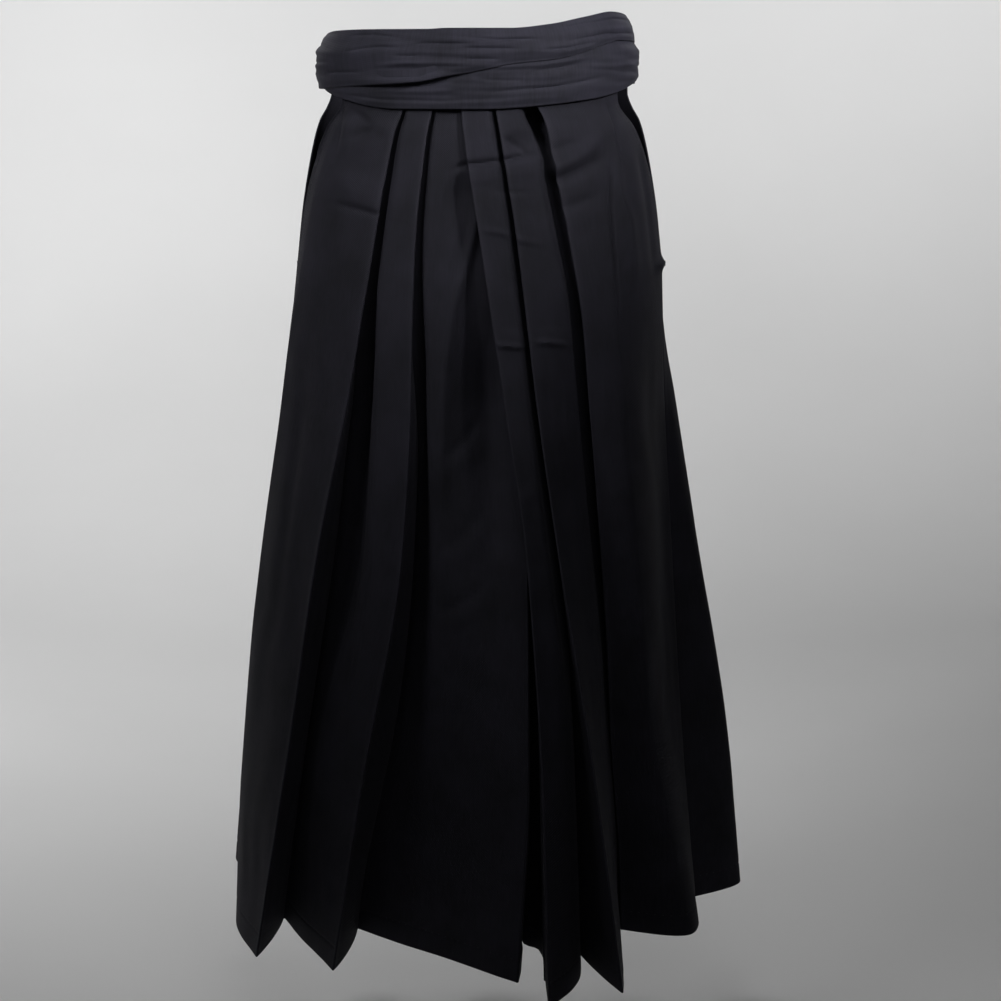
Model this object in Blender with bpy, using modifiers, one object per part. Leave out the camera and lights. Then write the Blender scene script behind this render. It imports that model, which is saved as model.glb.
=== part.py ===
"""Hakama: divided, knife-pleated trousers with a wide sash wound round the waist.

The garment keeps the shape it has when worn. The origin is the middle of the waist,
at the height where the sash holds it; +Z is up and the front faces -Y. +X is the
wearer's left. Every cloth piece is a single sheet with a real wall: its sections
follow the figure at the waist, where the pleats lie pressed in three layers, and
open into deep folds towards the hem.
"""

import bpy
import bmesh
import math

COLLECTION = "hakama"

# ---- driving dimensions, metres -------------------------------------------------
CLOTH_WALL = 0.0012        # trouser cloth
LAYER_PITCH = 0.0017       # from one pressed layer of a pleat to the next
SEAM_GAP = 0.0006          # between two panels that are sewn edge to edge
TURN_GAP = 0.0019          # at a seam where the cloth also turns a corner

CLOTH_TOP = -0.012         # upper edge of the trouser panels, under the sash
SLIT_FOOT = -0.215         # lower end of the openings at both hips
CROTCH = -0.510            # where the two legs part
HEM_FRONT = -0.962         # hem height at the furthest forward fold
HEM_FRONT_Y = -0.190
HEM_RISE = 0.08            # rise of the hem for each metre towards the back

# Heights of the sections that the fold tables give
LEVELS = {"waist": -0.055, "hip": SLIT_FOOT, "thigh": -0.360,
          "crotch": CROTCH, "calf": -0.740, "hem": HEM_FRONT}

# The surface that the cloth lies on: height, half width, depth in front of the
# section's middle, depth behind it, and how far back that middle lies
FIGURE = (
    # height   half    front   back    middle
    (0.050,    0.1345, 0.101,  0.099,  0.000),
    (0.018,    0.1437, 0.1045, 0.1025, 0.000),
    (0.000,    0.152,  0.106,  0.104,  0.000),
    (-0.034,   0.152,  0.106,  0.104,  0.000),
    (-0.048,   0.157,  0.110,  0.108,  0.000),
    (-0.062,   0.1645, 0.116,  0.114,  0.000),
    (-0.090,   0.1715, 0.121,  0.121,  0.000),
    (-0.140,   0.1790, 0.126,  0.130,  0.000),
    (-0.215,   0.1870, 0.132,  0.140,  0.000),
    (-0.360,   0.2070, 0.145,  0.155,  0.005),
    (-0.510,   0.2280, 0.160,  0.170,  0.010),
    (-0.740,   0.2620, 0.175,  0.195,  0.015),
    (-0.962,   0.2850, 0.185,  0.215,  0.020),
)
SASH_SAG = 0.014           # the sash, and the cloth under it, sit this much lower in front
SAG_FADES = (-0.10, -0.18) # heights between which that sag dies away
OPENS_FROM = -0.100        # the pleats lie pressed above this and are open at the thigh
PLEAT_SLACK = 0.0115       # turn, in radians, kept clear on both sides of a hidden fold
RISE_SHARES = (0.45, 0.55) # a panel's rise starts before the first share and ends past the second

# Heights at which each panel has a row of points
ROWS = (CLOTH_TOP, -0.038, -0.052, -0.068, -0.100, -0.150, SLIT_FOOT, -0.285,
        -0.360, -0.435, CROTCH, -0.590, -0.680, -0.780, -0.880, HEM_FRONT)

# ---- the folds, from each side seam to the middle -------------------------------
# kind: side and end are the panel's two edges, bend is a soft turn, dip one that lies
# under the pleats, edge is a pressed fold that shows and tuck the fold hidden behind it.
# steps: spans to the next fold.
# The other columns give the fold's place (x, y) in millimetres at each level.
FRONT_RIGHT = (
    # kind    steps  waist         hip           thigh         crotch        calf          hem
    ("side",  2, (-137, -50),  (-186, -10),  (-205, 30),   (-224, 62),   (-246, 112),  (-262, 150)),
    ("bend",  5, (-128, -60),  (-181, -38),  (-207, -4),   (-230, 10),   (-256, 25),   (-270, 37)),
    ("edge",  2, (-77, -98),   (-108, -108), (-137, -98),  (-168, -88),  (-203, -75),  (-240, -64)),
    ("tuck",  2, (-99, -86),   (-128, -98),  (-133, -54),  (-152, -28),  (-186, 0),    (-218, 37)),
    ("bend",  3, (-70, -101),  (-96, -113),  (-114, -108), (-127, -98),  (-168, -68),  (-187, -31)),
    ("edge",  2, (-47, -106),  (-64, -124),  (-70, -128),  (-80, -126),  (-120, -113), (-156, -99)),
    ("tuck",  3, (-67, -102),  (-84, -118),  (-66, -84),   (-68, -56),   (-95, -30),   (-134, 9)),
    ("dip",   2, (-24, -110),  (-30, -126),  (-48, -122),  (-50, -104),  (-66, -66),   (-76, -38)),
    ("dip",   2, (-8, -111),   (8, -124),    (6, -110),    (10, -122),   (0, -108),    (-20, -82)),
    ("end",   0, (6, -112),    (29, -128),   (47, -122),   (49, -138),   (50, -138),   (39, -129)),
)
FRONT_LEFT = (
    ("side",  2, (140, -46),   (187, -10),   (196, 16),    (206, 37),    (222, 68),    (236, 96)),
    ("bend",  4, (128, -60),   (136, -91),   (152, -82),   (165, -66),   (190, -36),   (232, -4)),
    ("edge",  2, (60, -104),   (94, -113),   (114, -97),   (127, -78),   (141, -35),   (154, 8)),
    ("tuck",  4, (84, -96),    (116, -101),  (125, -62),   (134, -34),   (145, 18),    (149, 62)),
    ("edge",  2, (18, -111),   (42, -129),   (61, -138),   (83, -145),   (119, -150),  (148, -153)),
    ("tuck",  2, (40, -107),   (64, -123),   (71, -104),   (86, -100),   (99, -82),    (107, -59)),
    ("bend",  3, (12, -112),   (34, -131),   (56, -134),   (75, -140),   (93, -134),   (101, -124)),
    ("edge",  2, (-16, -111),  (7, -132),    (29, -147),   (50, -162),   (65, -177),   (72, -187)),
    ("end",   0, (6, -112),    (29, -128),   (50, -123),   (57, -136),   (64, -137),   (69, -125)),
)
BACK_RIGHT = (
    ("side",  2, (-158, 15),   (-186, -10),  (-205, 30),   (-224, 62),   (-246, 112),  (-262, 150)),
    ("bend",  2, (-148, 41),   (-178, 50),   (-203, 80),   (-226, 108),  (-262, 165),  (-288, 218)),
    ("bend",  2, (-131, 63),   (-157, 80),   (-175, 98),   (-190, 115),  (-208, 145),  (-222, 172)),
    ("bend",  2, (-107, 82),   (-128, 103),  (-148, 130),  (-163, 158),  (-182, 202),  (-194, 240)),
    ("bend",  2, (-75, 97),    (-90, 122),   (-102, 135),  (-110, 146),  (-120, 160),  (-124, 172)),
    ("edge",  2, (-10, 110),   (-16, 140),   (-26, 160),   (-36, 180),   (-48, 214),   (-58, 242)),
    ("tuck",  2, (-36, 106),   (-44, 136),   (-56, 142),   (-64, 150),   (-76, 166),   (-86, 176)),
    ("end",   0, (-0.6, 110),  (-0.6, 140),  (-0.6, 157),  (-0.6, 172),  (-3, 184),    (-6, 190)),
)
BACK_LEFT = (
    ("side",  2, (158, 15),    (187, -10),   (196, 16),    (206, 37),    (222, 68),    (236, 96)),
    ("bend",  2, (149, 41),    (181, 40),    (208, 52),    (234, 72),    (273, 108),   (297, 143)),
    ("bend",  2, (131, 63),    (159, 76),    (182, 94),    (200, 112),   (226, 146),   (246, 172)),
    ("bend",  2, (106, 83),    (127, 105),   (150, 132),   (168, 160),   (196, 204),   (214, 238)),
    ("bend",  2, (75, 97),     (91, 121),    (104, 134),   (114, 146),   (126, 162),   (134, 172)),
    ("edge",  2, (12, 110),    (20, 140),    (32, 160),    (44, 180),    (60, 212),    (74, 238)),
    ("tuck",  2, (38, 106),    (46, 136),    (58, 142),    (70, 150),    (86, 164),    (98, 174)),
    ("end",   0, (0.6, 110),   (0.6, 140),   (0.6, 157),   (2.6, 172),   (12, 183),    (22, 188)),
)
# The inner-leg panels start at the front panel's end and finish at the back panel's
INNER_LEG_RIGHT = (
    # steps          crotch        calf          hem
    (2,              (49, -138),   (50, -138),   (39, -129)),
    (1,              (40, -86),    (50, -80),    (44, -33)),
    (2,              (34, -48),    (42, -30),    (36, -4)),
    (2,              (17, 62),     (22, 70),     (20, 78)),
    (0,              (-0.6, 172),  (-3, 184),    (-6, 190)),
)
INNER_LEG_LEFT = (
    (2,              (57, -136),   (64, -137),   (69, -125)),
    (1,              (43, -86),    (62, -86),    (66, -45)),
    (2,              (37, -48),    (47, -28),    (50, -30)),
    (2,              (20, 62),     (28, 70),     (34, 78)),
    (0,              (2.6, 172),   (12, 183),    (22, 188)),
)

# ---- bands, board, ties and sash ------------------------------------------------
# out: from the figure's surface to the middle of the wall; bearings in degrees round
# the waist, 0 in front and positive towards +X; low and high are edge heights
FRONT_BAND = dict(wall=0.0016, out=0.0058, start=-61.0, stop=62.0, low=-0.030, high=0.010)
BACK_BOARD = dict(wall=0.0030, out=0.0065, start=134.0, stop=226.0, low=-0.030, high=0.026)
FRONT_TIE = dict(wall=0.0014, out=-0.0020, start=66.0, stop=294.0, low=-0.030, high=0.004)
BACK_TIE = dict(wall=0.0014, out=0.0081, start=-132.5, stop=132.5, low=-0.030, high=-0.002)
BAND_PITCH = 8.0           # degrees from one line of points to the next
BOARD_PITCH = 7.0
SASH_WALL = 0.0020
SASH_PLUMP = 0.0012        # how far the middle of a turn of the sash swells out

# Edges of the two turns of the sash at bearings round the waist, millimetres
SASH_LOWER = (
    # bearing   low    high
    (-180,      -45,   8),
    (-90,       -32,   14),
    (-60,       -44,   18),
    (-30,       -54,   18),
    (0,         -54,   18),
    (45,        -44,   28),
    (90,        -27,   28),
    (180,       -45,   8),
)
SASH_UPPER = (
    (-180,      -40,   12),
    (-90,       -35,   20),
    (-68,       -34,   23),
    (-45,       -31,   24),
    (-28,       -29,   24),
    (-19,       -27,   24),
    (-11,       -22,   25),
    (-3,        -18,   25),
    (11,        -10,   25),
    (27,        -5,    29),
    (43,        5,     36),
    (63,        14,    42),
    (90,        12,    38),
    (130,       -20,   25),
    (180,       -40,   12),
)
SASH_LOWER_OUT = 0.0103
SASH_UPPER_OUT = 0.0141
SASH_LAP = 24.0            # degrees by which the outer turn laps over its own start
SASH_START = -166.0
SASH_STEP = (9.0, 7.0)     # degrees before its start that it steps out, and over how many
SASH_LOWER_PITCH = 7.0
SASH_UPPER_PITCH = 6.5

INK = (0.0065, 0.0062, 0.0078, 1.0)
CHARCOAL = (0.0170, 0.0160, 0.0205, 1.0)
CLOTH_ROUGHNESS = 0.85
PRESSED_ANGLE = 40.0       # degrees; folds sharper than this are shaded as creases


# ---- curves and sections ----------------------------------------------------------
def pchip(xs, ys, x):
    """Monotone cubic through (xs, ys), xs rising; held at its ends."""
    if x <= xs[0]:
        return ys[0]
    if x >= xs[-1]:
        return ys[-1]
    spans = [b - a for a, b in zip(xs, xs[1:])]
    slopes = [(b - a) / h for a, b, h in zip(ys, ys[1:], spans)]
    tangents = [slopes[0]]
    for k in range(1, len(slopes)):
        before, after = slopes[k - 1], slopes[k]
        if before * after <= 0:
            tangents.append(0.0)
            continue
        w_before = 2 * spans[k] + spans[k - 1]
        w_after = spans[k] + 2 * spans[k - 1]
        tangents.append((w_before + w_after) / (w_before / before + w_after / after))
    tangents.append(slopes[-1])
    k = max(i for i in range(len(spans)) if xs[i] <= x)
    t = (x - xs[k]) / spans[k]
    return (ys[k] * (1 + 2 * t) * (1 - t) ** 2 + tangents[k] * spans[k] * t * (1 - t) ** 2
            + ys[k + 1] * t * t * (3 - 2 * t) + tangents[k + 1] * spans[k] * t * t * (t - 1))


def smooth(t):
    t = min(1.0, max(0.0, t))
    return t * t * (3 - 2 * t)


def mix(a, b, t):
    return tuple(p + (q - p) * t for p, q in zip(a, b))


def figure(z):
    """Half width, front depth, back depth and middle of the figure at a height."""
    heights = [-row[0] for row in FIGURE]
    return [pchip(heights, [row[k] for row in FIGURE], -z) for k in (1, 2, 3, 4)]


def on_figure(bearing, out, z, sagging=True):
    """The point at a bearing in radians, a distance out from the figure's surface."""
    faded = smooth((SAG_FADES[0] - z) / (SAG_FADES[0] - SAG_FADES[1]))
    sag = SASH_SAG * (0.5 + 0.5 * math.cos(bearing)) * (1 - faded)
    half, front, back, middle = figure(z + sag * sagging)
    x = half * math.sin(bearing)
    y = -(front if math.cos(bearing) > 0 else back) * math.cos(bearing)
    grow = 1 + out / math.hypot(x, y)
    return (x * grow, middle + y * grow)


def bearing_of(point, z):
    """The bearing and distance out that on_figure turns into this point."""
    half, front, back, middle = figure(z)
    depth = front if point[1] < middle else back
    bearing = math.atan2(point[0] / half, -(point[1] - middle) / depth)
    reach = math.hypot(point[0] / half, (point[1] - middle) / depth)
    radius = math.hypot(half * math.sin(bearing), depth * math.cos(bearing))
    return bearing, (reach - 1) * radius


# ---- pleated panels ---------------------------------------------------------------
LAYERS = {"side": 2, "bend": 2, "dip": 0, "edge": 1.5, "tuck": 0.5}   # at the waist, in layer pitches


def fold_tracks(table, side, end_layer):
    """For each fold, its bearing and distance out at every level."""
    heights = list(LEVELS.values())
    tracks = []
    for kind, _, *places in table:
        bearings, outs = [], []
        for z, (x, y) in zip(heights, places):
            bearing, out = bearing_of((x / 1000, y / 1000), z)
            if abs(bearing) > math.pi / 2 and bearing * side < 0:
                bearing += side * 2 * math.pi
            if z >= SLIT_FOOT:
                out = LAYER_PITCH * (end_layer if kind == "end" else LAYERS[kind])
            bearings.append(bearing)
            outs.append(out)
        tracks.append((bearings, outs))
    return tracks


def track_at(track, z):
    levels = [-h for h in LEVELS.values()]
    return pchip(levels, track[0], -z), pchip(levels, track[1], -z)


def side_at(track, z, lean):
    """A side edge: it slants beside the opening at the hip and is a seam below it."""
    levels = [-h for h in LEVELS.values()][1:]
    bearings, outs = track[0][1:], track[1][1:]
    drop = min(1.0, max(0.0, (LEVELS["waist"] - z) / (LEVELS["waist"] - SLIT_FOOT)))
    slant = (track[0][0] - bearings[0]) * (1 - drop) ** lean
    return pchip(levels, bearings, -z) + slant, pchip(levels, outs, -z)


def fold_pair(spots, k, middle):
    """The two points, one layer apart, at which the cloth turns back at fold k."""
    before = [a - b for a, b in zip(spots[k], spots[k - 1])]
    after = [a - b for a, b in zip(spots[k + 1], spots[k])]
    lengths = math.hypot(*before), math.hypot(*after)
    axis = [a / lengths[0] - b / lengths[1] for a, b in zip(before, after)]
    across = (-axis[1], axis[0])
    outward = across[0] * spots[k][0] + across[1] * (spots[k][1] - middle)
    half = math.copysign(LAYER_PITCH / 2, outward) / math.hypot(*across)
    return [tuple(p + side * half * a for p, a in zip(spots[k], across)) for side in (1, -1)]


def rise_span(keys, start, stop):
    """Where a panel may rise from below one pleat to above the next, as shares of it."""
    reach = keys[stop][0] - keys[start][0]
    slack = PLEAT_SLACK / abs(reach)
    past_fold = (keys[start - 1][0] - keys[start][0]) / reach + slack
    before_tuck = (keys[stop + 1][0] - keys[start][0]) / reach - slack
    return min(max(past_fold, 0.0), RISE_SHARES[0]), max(min(before_tuck, 1.0), RISE_SHARES[1])


def panel_section(table, tracks, z, lean):
    """Points of one panel at one height, from its side edge to the middle."""
    opened = smooth((OPENS_FROM - z) / (OPENS_FROM - LEVELS["thigh"]))
    keys = [side_at(tracks[0], z, lean)] + [track_at(track, z) for track in tracks[1:]]
    spots = [on_figure(bearing, out, z) for bearing, out in keys]
    kinds = [row[0] for row in table]
    sharp = [k for k, kind in enumerate(kinds) if kind not in ("bend", "dip")]
    pairs = {k: (spots[k], spots[k]) for k in sharp}
    turned = [k for k in sharp if kinds[k] in ("edge", "tuck")]
    pairs.update({k: fold_pair(spots, k, figure(z)[3]) for k in turned})

    points = []
    for start, stop in zip(sharp, sharp[1:]):
        first, last = pairs[start][1], pairs[stop][0]
        reach = keys[stop][0] - keys[start][0]
        out_first = keys[start][1] - (LAYER_PITCH / 2 if start in turned else 0)
        out_last = keys[stop][1] + (LAYER_PITCH / 2 if stop in turned else 0)
        low, high = 0.0, 1.0
        if kinds[start] == "tuck" and kinds[stop] == "edge":
            low, high = rise_span(keys, start, stop)
        for k in range(start, stop):
            tail = first if k == start else spots[k]
            head = last if k + 1 == stop else spots[k + 1]
            steps = table[k][1]
            for step in range(steps):
                t = step / steps
                bearing = keys[k][0] + (keys[k + 1][0] - keys[k][0]) * t
                rise = smooth(((bearing - keys[start][0]) / reach - low) / (high - low))
                pressed = on_figure(bearing, out_first + (out_last - out_first) * rise, z)
                points.append(mix(pressed, mix(tail, head, t), opened))
        points[-sum(table[k][1] for k in range(start, stop))] = first
        points.append(last)
    return points


def hem_drop(y, z):
    """The hem rises towards the back; rows near it follow."""
    share = smooth((LEVELS["crotch"] - z) / (LEVELS["crotch"] - HEM_FRONT))
    return HEM_RISE * (y - HEM_FRONT_Y) * share


def trim(points, gap, at_start):
    """Move a section's end point along its last span, to leave the gap of a seam."""
    end, inner = (0, 1) if at_start else (-1, -2)
    a, b = points[end], points[inner]
    length = math.hypot(b[0] - a[0], b[1] - a[1])
    points[end] = mix(a, b, gap / length)


def pleated_panel(name, table, side, end_layer, lean):
    tracks = fold_tracks(table, side, end_layer)
    grid = []
    for z in ROWS:
        section = panel_section(table, tracks, z, lean)
        trim(section, SEAM_GAP, at_start=True)
        grid.append([(x, y, z + hem_drop(y, z)) for x, y in section])
    return sheet_object(name, grid, CLOTH_WALL, INK)


def inner_leg(name, table):
    """A leg's inner panel: straight spans between its folds, from the crotch down."""
    levels = [-LEVELS[name] for name in ("crotch", "calf", "hem")]
    grid = []
    for z in [row for row in ROWS if row <= CROTCH]:
        spots = []
        for _, *places in table:
            spots.append(tuple(pchip(levels, [p[k] / 1000 for p in places], -z) for k in (0, 1)))
        section = []
        for (steps, *_), a, b in zip(table, spots, spots[1:]):
            section += [mix(a, b, step / steps) for step in range(steps)]
        section.append(spots[-1])
        trim(section, TURN_GAP, at_start=True)
        trim(section, TURN_GAP, at_start=False)
        grid.append([(x, y, z + hem_drop(y, z)) for x, y in section])
    return sheet_object(name, grid, CLOTH_WALL, INK)


# ---- bands round the waist ----------------------------------------------------------
def waist_strip(name, out, wall, bearings, edges, rows, colour, plump=0.0, lap=None):
    """A strip round the waist: edges(bearing) gives its low and high edge there."""
    grid = []
    for row in range(rows + 1):
        share = row / rows
        line = []
        for degrees in bearings:
            low, high = edges(degrees)
            swell = plump * math.sin(math.pi * share)
            extra = lap(degrees) if lap else 0.0
            z = high + (low - high) * share
            x, y = on_figure(math.radians(degrees), out + swell + extra, max(z, 0.0), False)
            line.append((x, y, z))
        grid.append(line)
    return sheet_object(name, grid, wall, colour)


def spread(start, stop, pitch):
    count = max(2, round((stop - start) / pitch))
    return [start + (stop - start) * k / count for k in range(count + 1)]


def plain_edges(spec):
    return lambda degrees: (spec["low"], spec["high"])


def sash_edges(table):
    bearings = [row[0] for row in table]

    def edges(degrees):
        wrapped = (degrees + 180.0) % 360.0 - 180.0
        return tuple(pchip(bearings, [row[k] / 1000 for row in table], wrapped) for k in (1, 2))
    return edges


def sash_lap(degrees):
    """The outer turn steps out over its own start."""
    past_start = degrees - SASH_START - 360.0
    return (SASH_WALL + SEAM_GAP) * smooth((past_start + SASH_STEP[0]) / SASH_STEP[1])


# ---- mesh ---------------------------------------------------------------------------
def cloth_material(name, colour):
    material = bpy.data.materials.new(name)
    material.use_nodes = True
    shader = material.node_tree.nodes["Principled BSDF"]
    shader.inputs["Base Color"].default_value = colour
    shader.inputs["Roughness"].default_value = CLOTH_ROUGHNESS
    shader.inputs["Metallic"].default_value = 0.0
    return material


def sheet_object(name, grid, wall, colour):
    """An open grid of points, top row first, made into a wall of even thickness."""
    bm = bmesh.new()
    verts = [[bm.verts.new(point) for point in row] for row in grid]
    for upper, lower in zip(verts, verts[1:]):
        for k in range(len(upper) - 1):
            bm.faces.new((upper[k], lower[k], lower[k + 1], upper[k + 1]))
    bmesh.ops.triangulate(bm, faces=bm.faces[:])
    mesh = bpy.data.meshes.new(name)
    bm.to_mesh(mesh)
    bm.free()
    mesh.materials.append(cloth_material(name + "_cloth", colour))
    mesh.shade_smooth()
    mesh.set_sharp_from_angle(angle=math.radians(PRESSED_ANGLE))
    obj = bpy.data.objects.new(name, mesh)
    parts.objects.link(obj)
    solidify = obj.modifiers.new("wall", "SOLIDIFY")
    solidify.thickness = wall
    solidify.offset = 0.0
    solidify.use_even_offset = True
    return obj


for leftover in list(bpy.data.objects):
    bpy.data.objects.remove(leftover, do_unlink=True)
parts = bpy.data.collections.new(COLLECTION)
bpy.context.scene.collection.children.link(parts)

pleated_panel("front_right", FRONT_RIGHT, -1, end_layer=0.0, lean=1.3)
pleated_panel("front_left", FRONT_LEFT, 1, end_layer=1.0, lean=2.2)
pleated_panel("back_right", BACK_RIGHT, -1, end_layer=0.0, lean=1.0)
pleated_panel("back_left", BACK_LEFT, 1, end_layer=0.0, lean=1.0)
inner_leg("inner_leg_right", INNER_LEG_RIGHT)
inner_leg("inner_leg_left", INNER_LEG_LEFT)

for strip, spec in (("front_band", FRONT_BAND), ("front_tie", FRONT_TIE), ("back_tie", BACK_TIE)):
    waist_strip(strip, spec["out"], spec["wall"], spread(spec["start"], spec["stop"], BAND_PITCH),
                plain_edges(spec), 2, INK)
waist_strip("back_board", BACK_BOARD["out"], BACK_BOARD["wall"],
            spread(BACK_BOARD["start"], BACK_BOARD["stop"], BOARD_PITCH),
            plain_edges(BACK_BOARD), 2, INK)
waist_strip("sash_lower", SASH_LOWER_OUT, SASH_WALL, spread(-179.0, 179.0, SASH_LOWER_PITCH),
            sash_edges(SASH_LOWER), 4, CHARCOAL, plump=SASH_PLUMP)
waist_strip("sash_upper", SASH_UPPER_OUT, SASH_WALL,
            spread(SASH_START, SASH_START + 360.0 + SASH_LAP, SASH_UPPER_PITCH),
            sash_edges(SASH_UPPER), 4, CHARCOAL, plump=SASH_PLUMP, lap=sash_lap)
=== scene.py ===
"""Hakama: divided, knife-pleated trousers with a wide soft sash wound round the waist.

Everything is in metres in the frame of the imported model: the origin is the middle of
the waist, +Z is up, the front faces -Y and +X is the wearer's left.
"""
import bpy
import math
import numpy as np
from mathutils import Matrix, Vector


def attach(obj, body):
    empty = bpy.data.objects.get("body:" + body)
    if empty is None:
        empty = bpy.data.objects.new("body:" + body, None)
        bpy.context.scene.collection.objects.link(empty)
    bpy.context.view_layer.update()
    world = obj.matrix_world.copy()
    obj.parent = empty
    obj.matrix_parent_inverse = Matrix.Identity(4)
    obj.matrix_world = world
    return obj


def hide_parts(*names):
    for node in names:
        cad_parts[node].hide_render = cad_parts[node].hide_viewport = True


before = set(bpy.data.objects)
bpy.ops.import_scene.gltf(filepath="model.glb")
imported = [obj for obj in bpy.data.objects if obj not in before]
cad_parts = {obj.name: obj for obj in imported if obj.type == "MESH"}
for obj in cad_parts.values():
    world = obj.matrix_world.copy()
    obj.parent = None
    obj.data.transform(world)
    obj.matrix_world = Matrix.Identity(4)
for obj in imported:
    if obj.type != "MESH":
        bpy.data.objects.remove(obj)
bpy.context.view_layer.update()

# ==== Front panels =====================================================================
# Each front is cut wide from a worsted-look twill and pressed into knife pleats: two
# edges on the wearer's right, three on the left, all facing the middle. The pleats lie
# flat in three layers under the sash and open into deep folds towards the hem.
CLOTH = 0.0009             # thickness of the twill
LAYER_PITCH = 0.0017       # from one pressed layer of a pleat to the next
SEAM_GAP = 0.0010          # from a panel's line to its turned edge, which makes the groove of a seam
CLOTH_TOP = -0.012
SLIT_FOOT = -0.215         # lower end of the openings at both hips
CROTCH = -0.510
HEM_FRONT = -0.962         # hem height at the furthest forward fold
HEM_FRONT_Y = -0.190
HEM_RISE = 0.08            # rise of the hem for each metre towards the back
HEM_TURNED = 0.024         # depth of the turned-up hem
LEVELS = {"waist": -0.055, "hip": SLIT_FOOT, "thigh": -0.360,
          "crotch": CROTCH, "calf": -0.740, "hem": HEM_FRONT}
OPENS_FROM = -0.100        # the pleats lie pressed above this and are open at the thigh
SASH_FOOT = -0.046         # the cloth may stand off the figure only below this
SASH_SAG = 0.014
SAG_FADES = (-0.10, -0.18)
PLEAT_SLACK = 0.0115       # turn, in radians, kept clear on both sides of a hidden fold
RISE_SHARES = (0.45, 0.55)
LAYERS = {"side": 2, "bend": 2, "line": 2, "dip": 0, "edge": 1.5, "tuck": 0.5}
NOSE_STEPS = 6             # points round each pressed fold
CROWDING = (2.2, 0.13)     # how much closer points lie beside a groove, over what share of a span
HIDDEN_PITCH = 1.6         # how much further apart they lie on the hidden side of a pleat
FOLD_GLOSS_AND_HIGHLIGHT_REACH = 0.0035        # reach, on both sides of a fold, of the ironed gloss and of the painted highlight that lightens the colour there

# The surface that the cloth lies on: height, half width, depth in front of the
# section's middle, depth behind it, and how far back that middle lies
FIGURE = np.array((
    # height   half    front   back    middle
    (0.050,    0.1345, 0.101,  0.099,  0.000),
    (0.018,    0.1437, 0.1045, 0.1025, 0.000),
    (0.000,    0.152,  0.106,  0.104,  0.000),
    (-0.034,   0.152,  0.106,  0.104,  0.000),
    (-0.048,   0.157,  0.110,  0.108,  0.000),
    (-0.062,   0.1645, 0.116,  0.114,  0.000),
    (-0.090,   0.1715, 0.121,  0.121,  0.000),
    (-0.140,   0.1790, 0.126,  0.130,  0.000),
    (-0.215,   0.1870, 0.132,  0.140,  0.000),
    (-0.360,   0.2070, 0.145,  0.155,  0.005),
    (-0.510,   0.2280, 0.160,  0.170,  0.010),
    (-0.740,   0.2620, 0.175,  0.195,  0.015),
    (-0.962,   0.2850, 0.185,  0.215,  0.020),
))

# The folds, from each side seam to the middle: (x, y) in millimetres at each level.
# full is how far, in millimetres, the span after the fold swells out where it hangs open.
FRONT_RIGHT = (
    # kind    full  waist         hip           thigh         crotch        calf          hem
    ("side",  0,  (-137, -50),  (-186, -10),  (-205, 30),   (-224, 62),   (-246, 112),  (-262, 150)),
    ("bend",  0,  (-128, -60),  (-181, -38),  (-207, -4),   (-230, 10),   (-256, 25),   (-270, 37)),
    ("edge",  -3, (-77, -98),   (-108, -108), (-137, -98),  (-168, -88),  (-203, -75),  (-240, -64)),
    ("tuck",  0,  (-99, -86),   (-128, -98),  (-133, -54),  (-152, -28),  (-186, 0),    (-218, 37)),
    ("bend",  0,  (-70, -101),  (-96, -113),  (-114, -108), (-127, -98),  (-168, -68),  (-187, -31)),
    ("edge",  -4, (-47, -106),  (-64, -124),  (-70, -128),  (-80, -126),  (-120, -113), (-156, -99)),
    ("tuck",  0,  (-67, -102),  (-84, -118),  (-66, -84),   (-68, -56),   (-95, -30),   (-134, 9)),
    ("dip",   0,  (-24, -110),  (-30, -126),  (-48, -122),  (-50, -104),  (-66, -66),   (-76, -38)),
    ("dip",   0,  (-8, -111),   (8, -124),    (6, -110),    (10, -122),   (0, -108),    (-20, -82)),
    ("end",   0,  (6, -112),    (29, -128),   (47, -122),   (49, -138),   (50, -138),   (39, -129)),
)
FRONT_LEFT = (
    ("side",  0,  (140, -46),   (187, -10),   (196, 16),    (206, 37),    (222, 68),    (236, 96)),
    ("line",  0,  (128, -60),   (136, -91),   (152, -82),   (165, -66),   (190, -36),   (232, -4)),
    ("edge",  -3, (60, -104),   (94, -113),   (114, -97),   (127, -78),   (141, -35),   (154, 8)),
    ("tuck",  3,  (84, -96),    (116, -101),  (125, -62),   (134, -34),   (145, 18),    (149, 62)),
    ("edge",  -2, (18, -111),   (42, -129),   (61, -138),   (83, -145),   (119, -150),  (148, -153)),
    ("tuck",  2,  (40, -107),   (64, -123),   (71, -104),   (86, -100),   (99, -82),    (107, -59)),
    ("bend",  0,  (12, -112),   (34, -131),   (56, -134),   (75, -140),   (93, -134),   (101, -124)),
    ("edge",  0,  (-16, -111),  (7, -132),    (29, -147),   (50, -162),   (65, -177),   (72, -187)),
    ("end",   0,  (6, -112),    (29, -128),   (50, -123),   (57, -136),   (64, -137),   (69, -125)),
)
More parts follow.
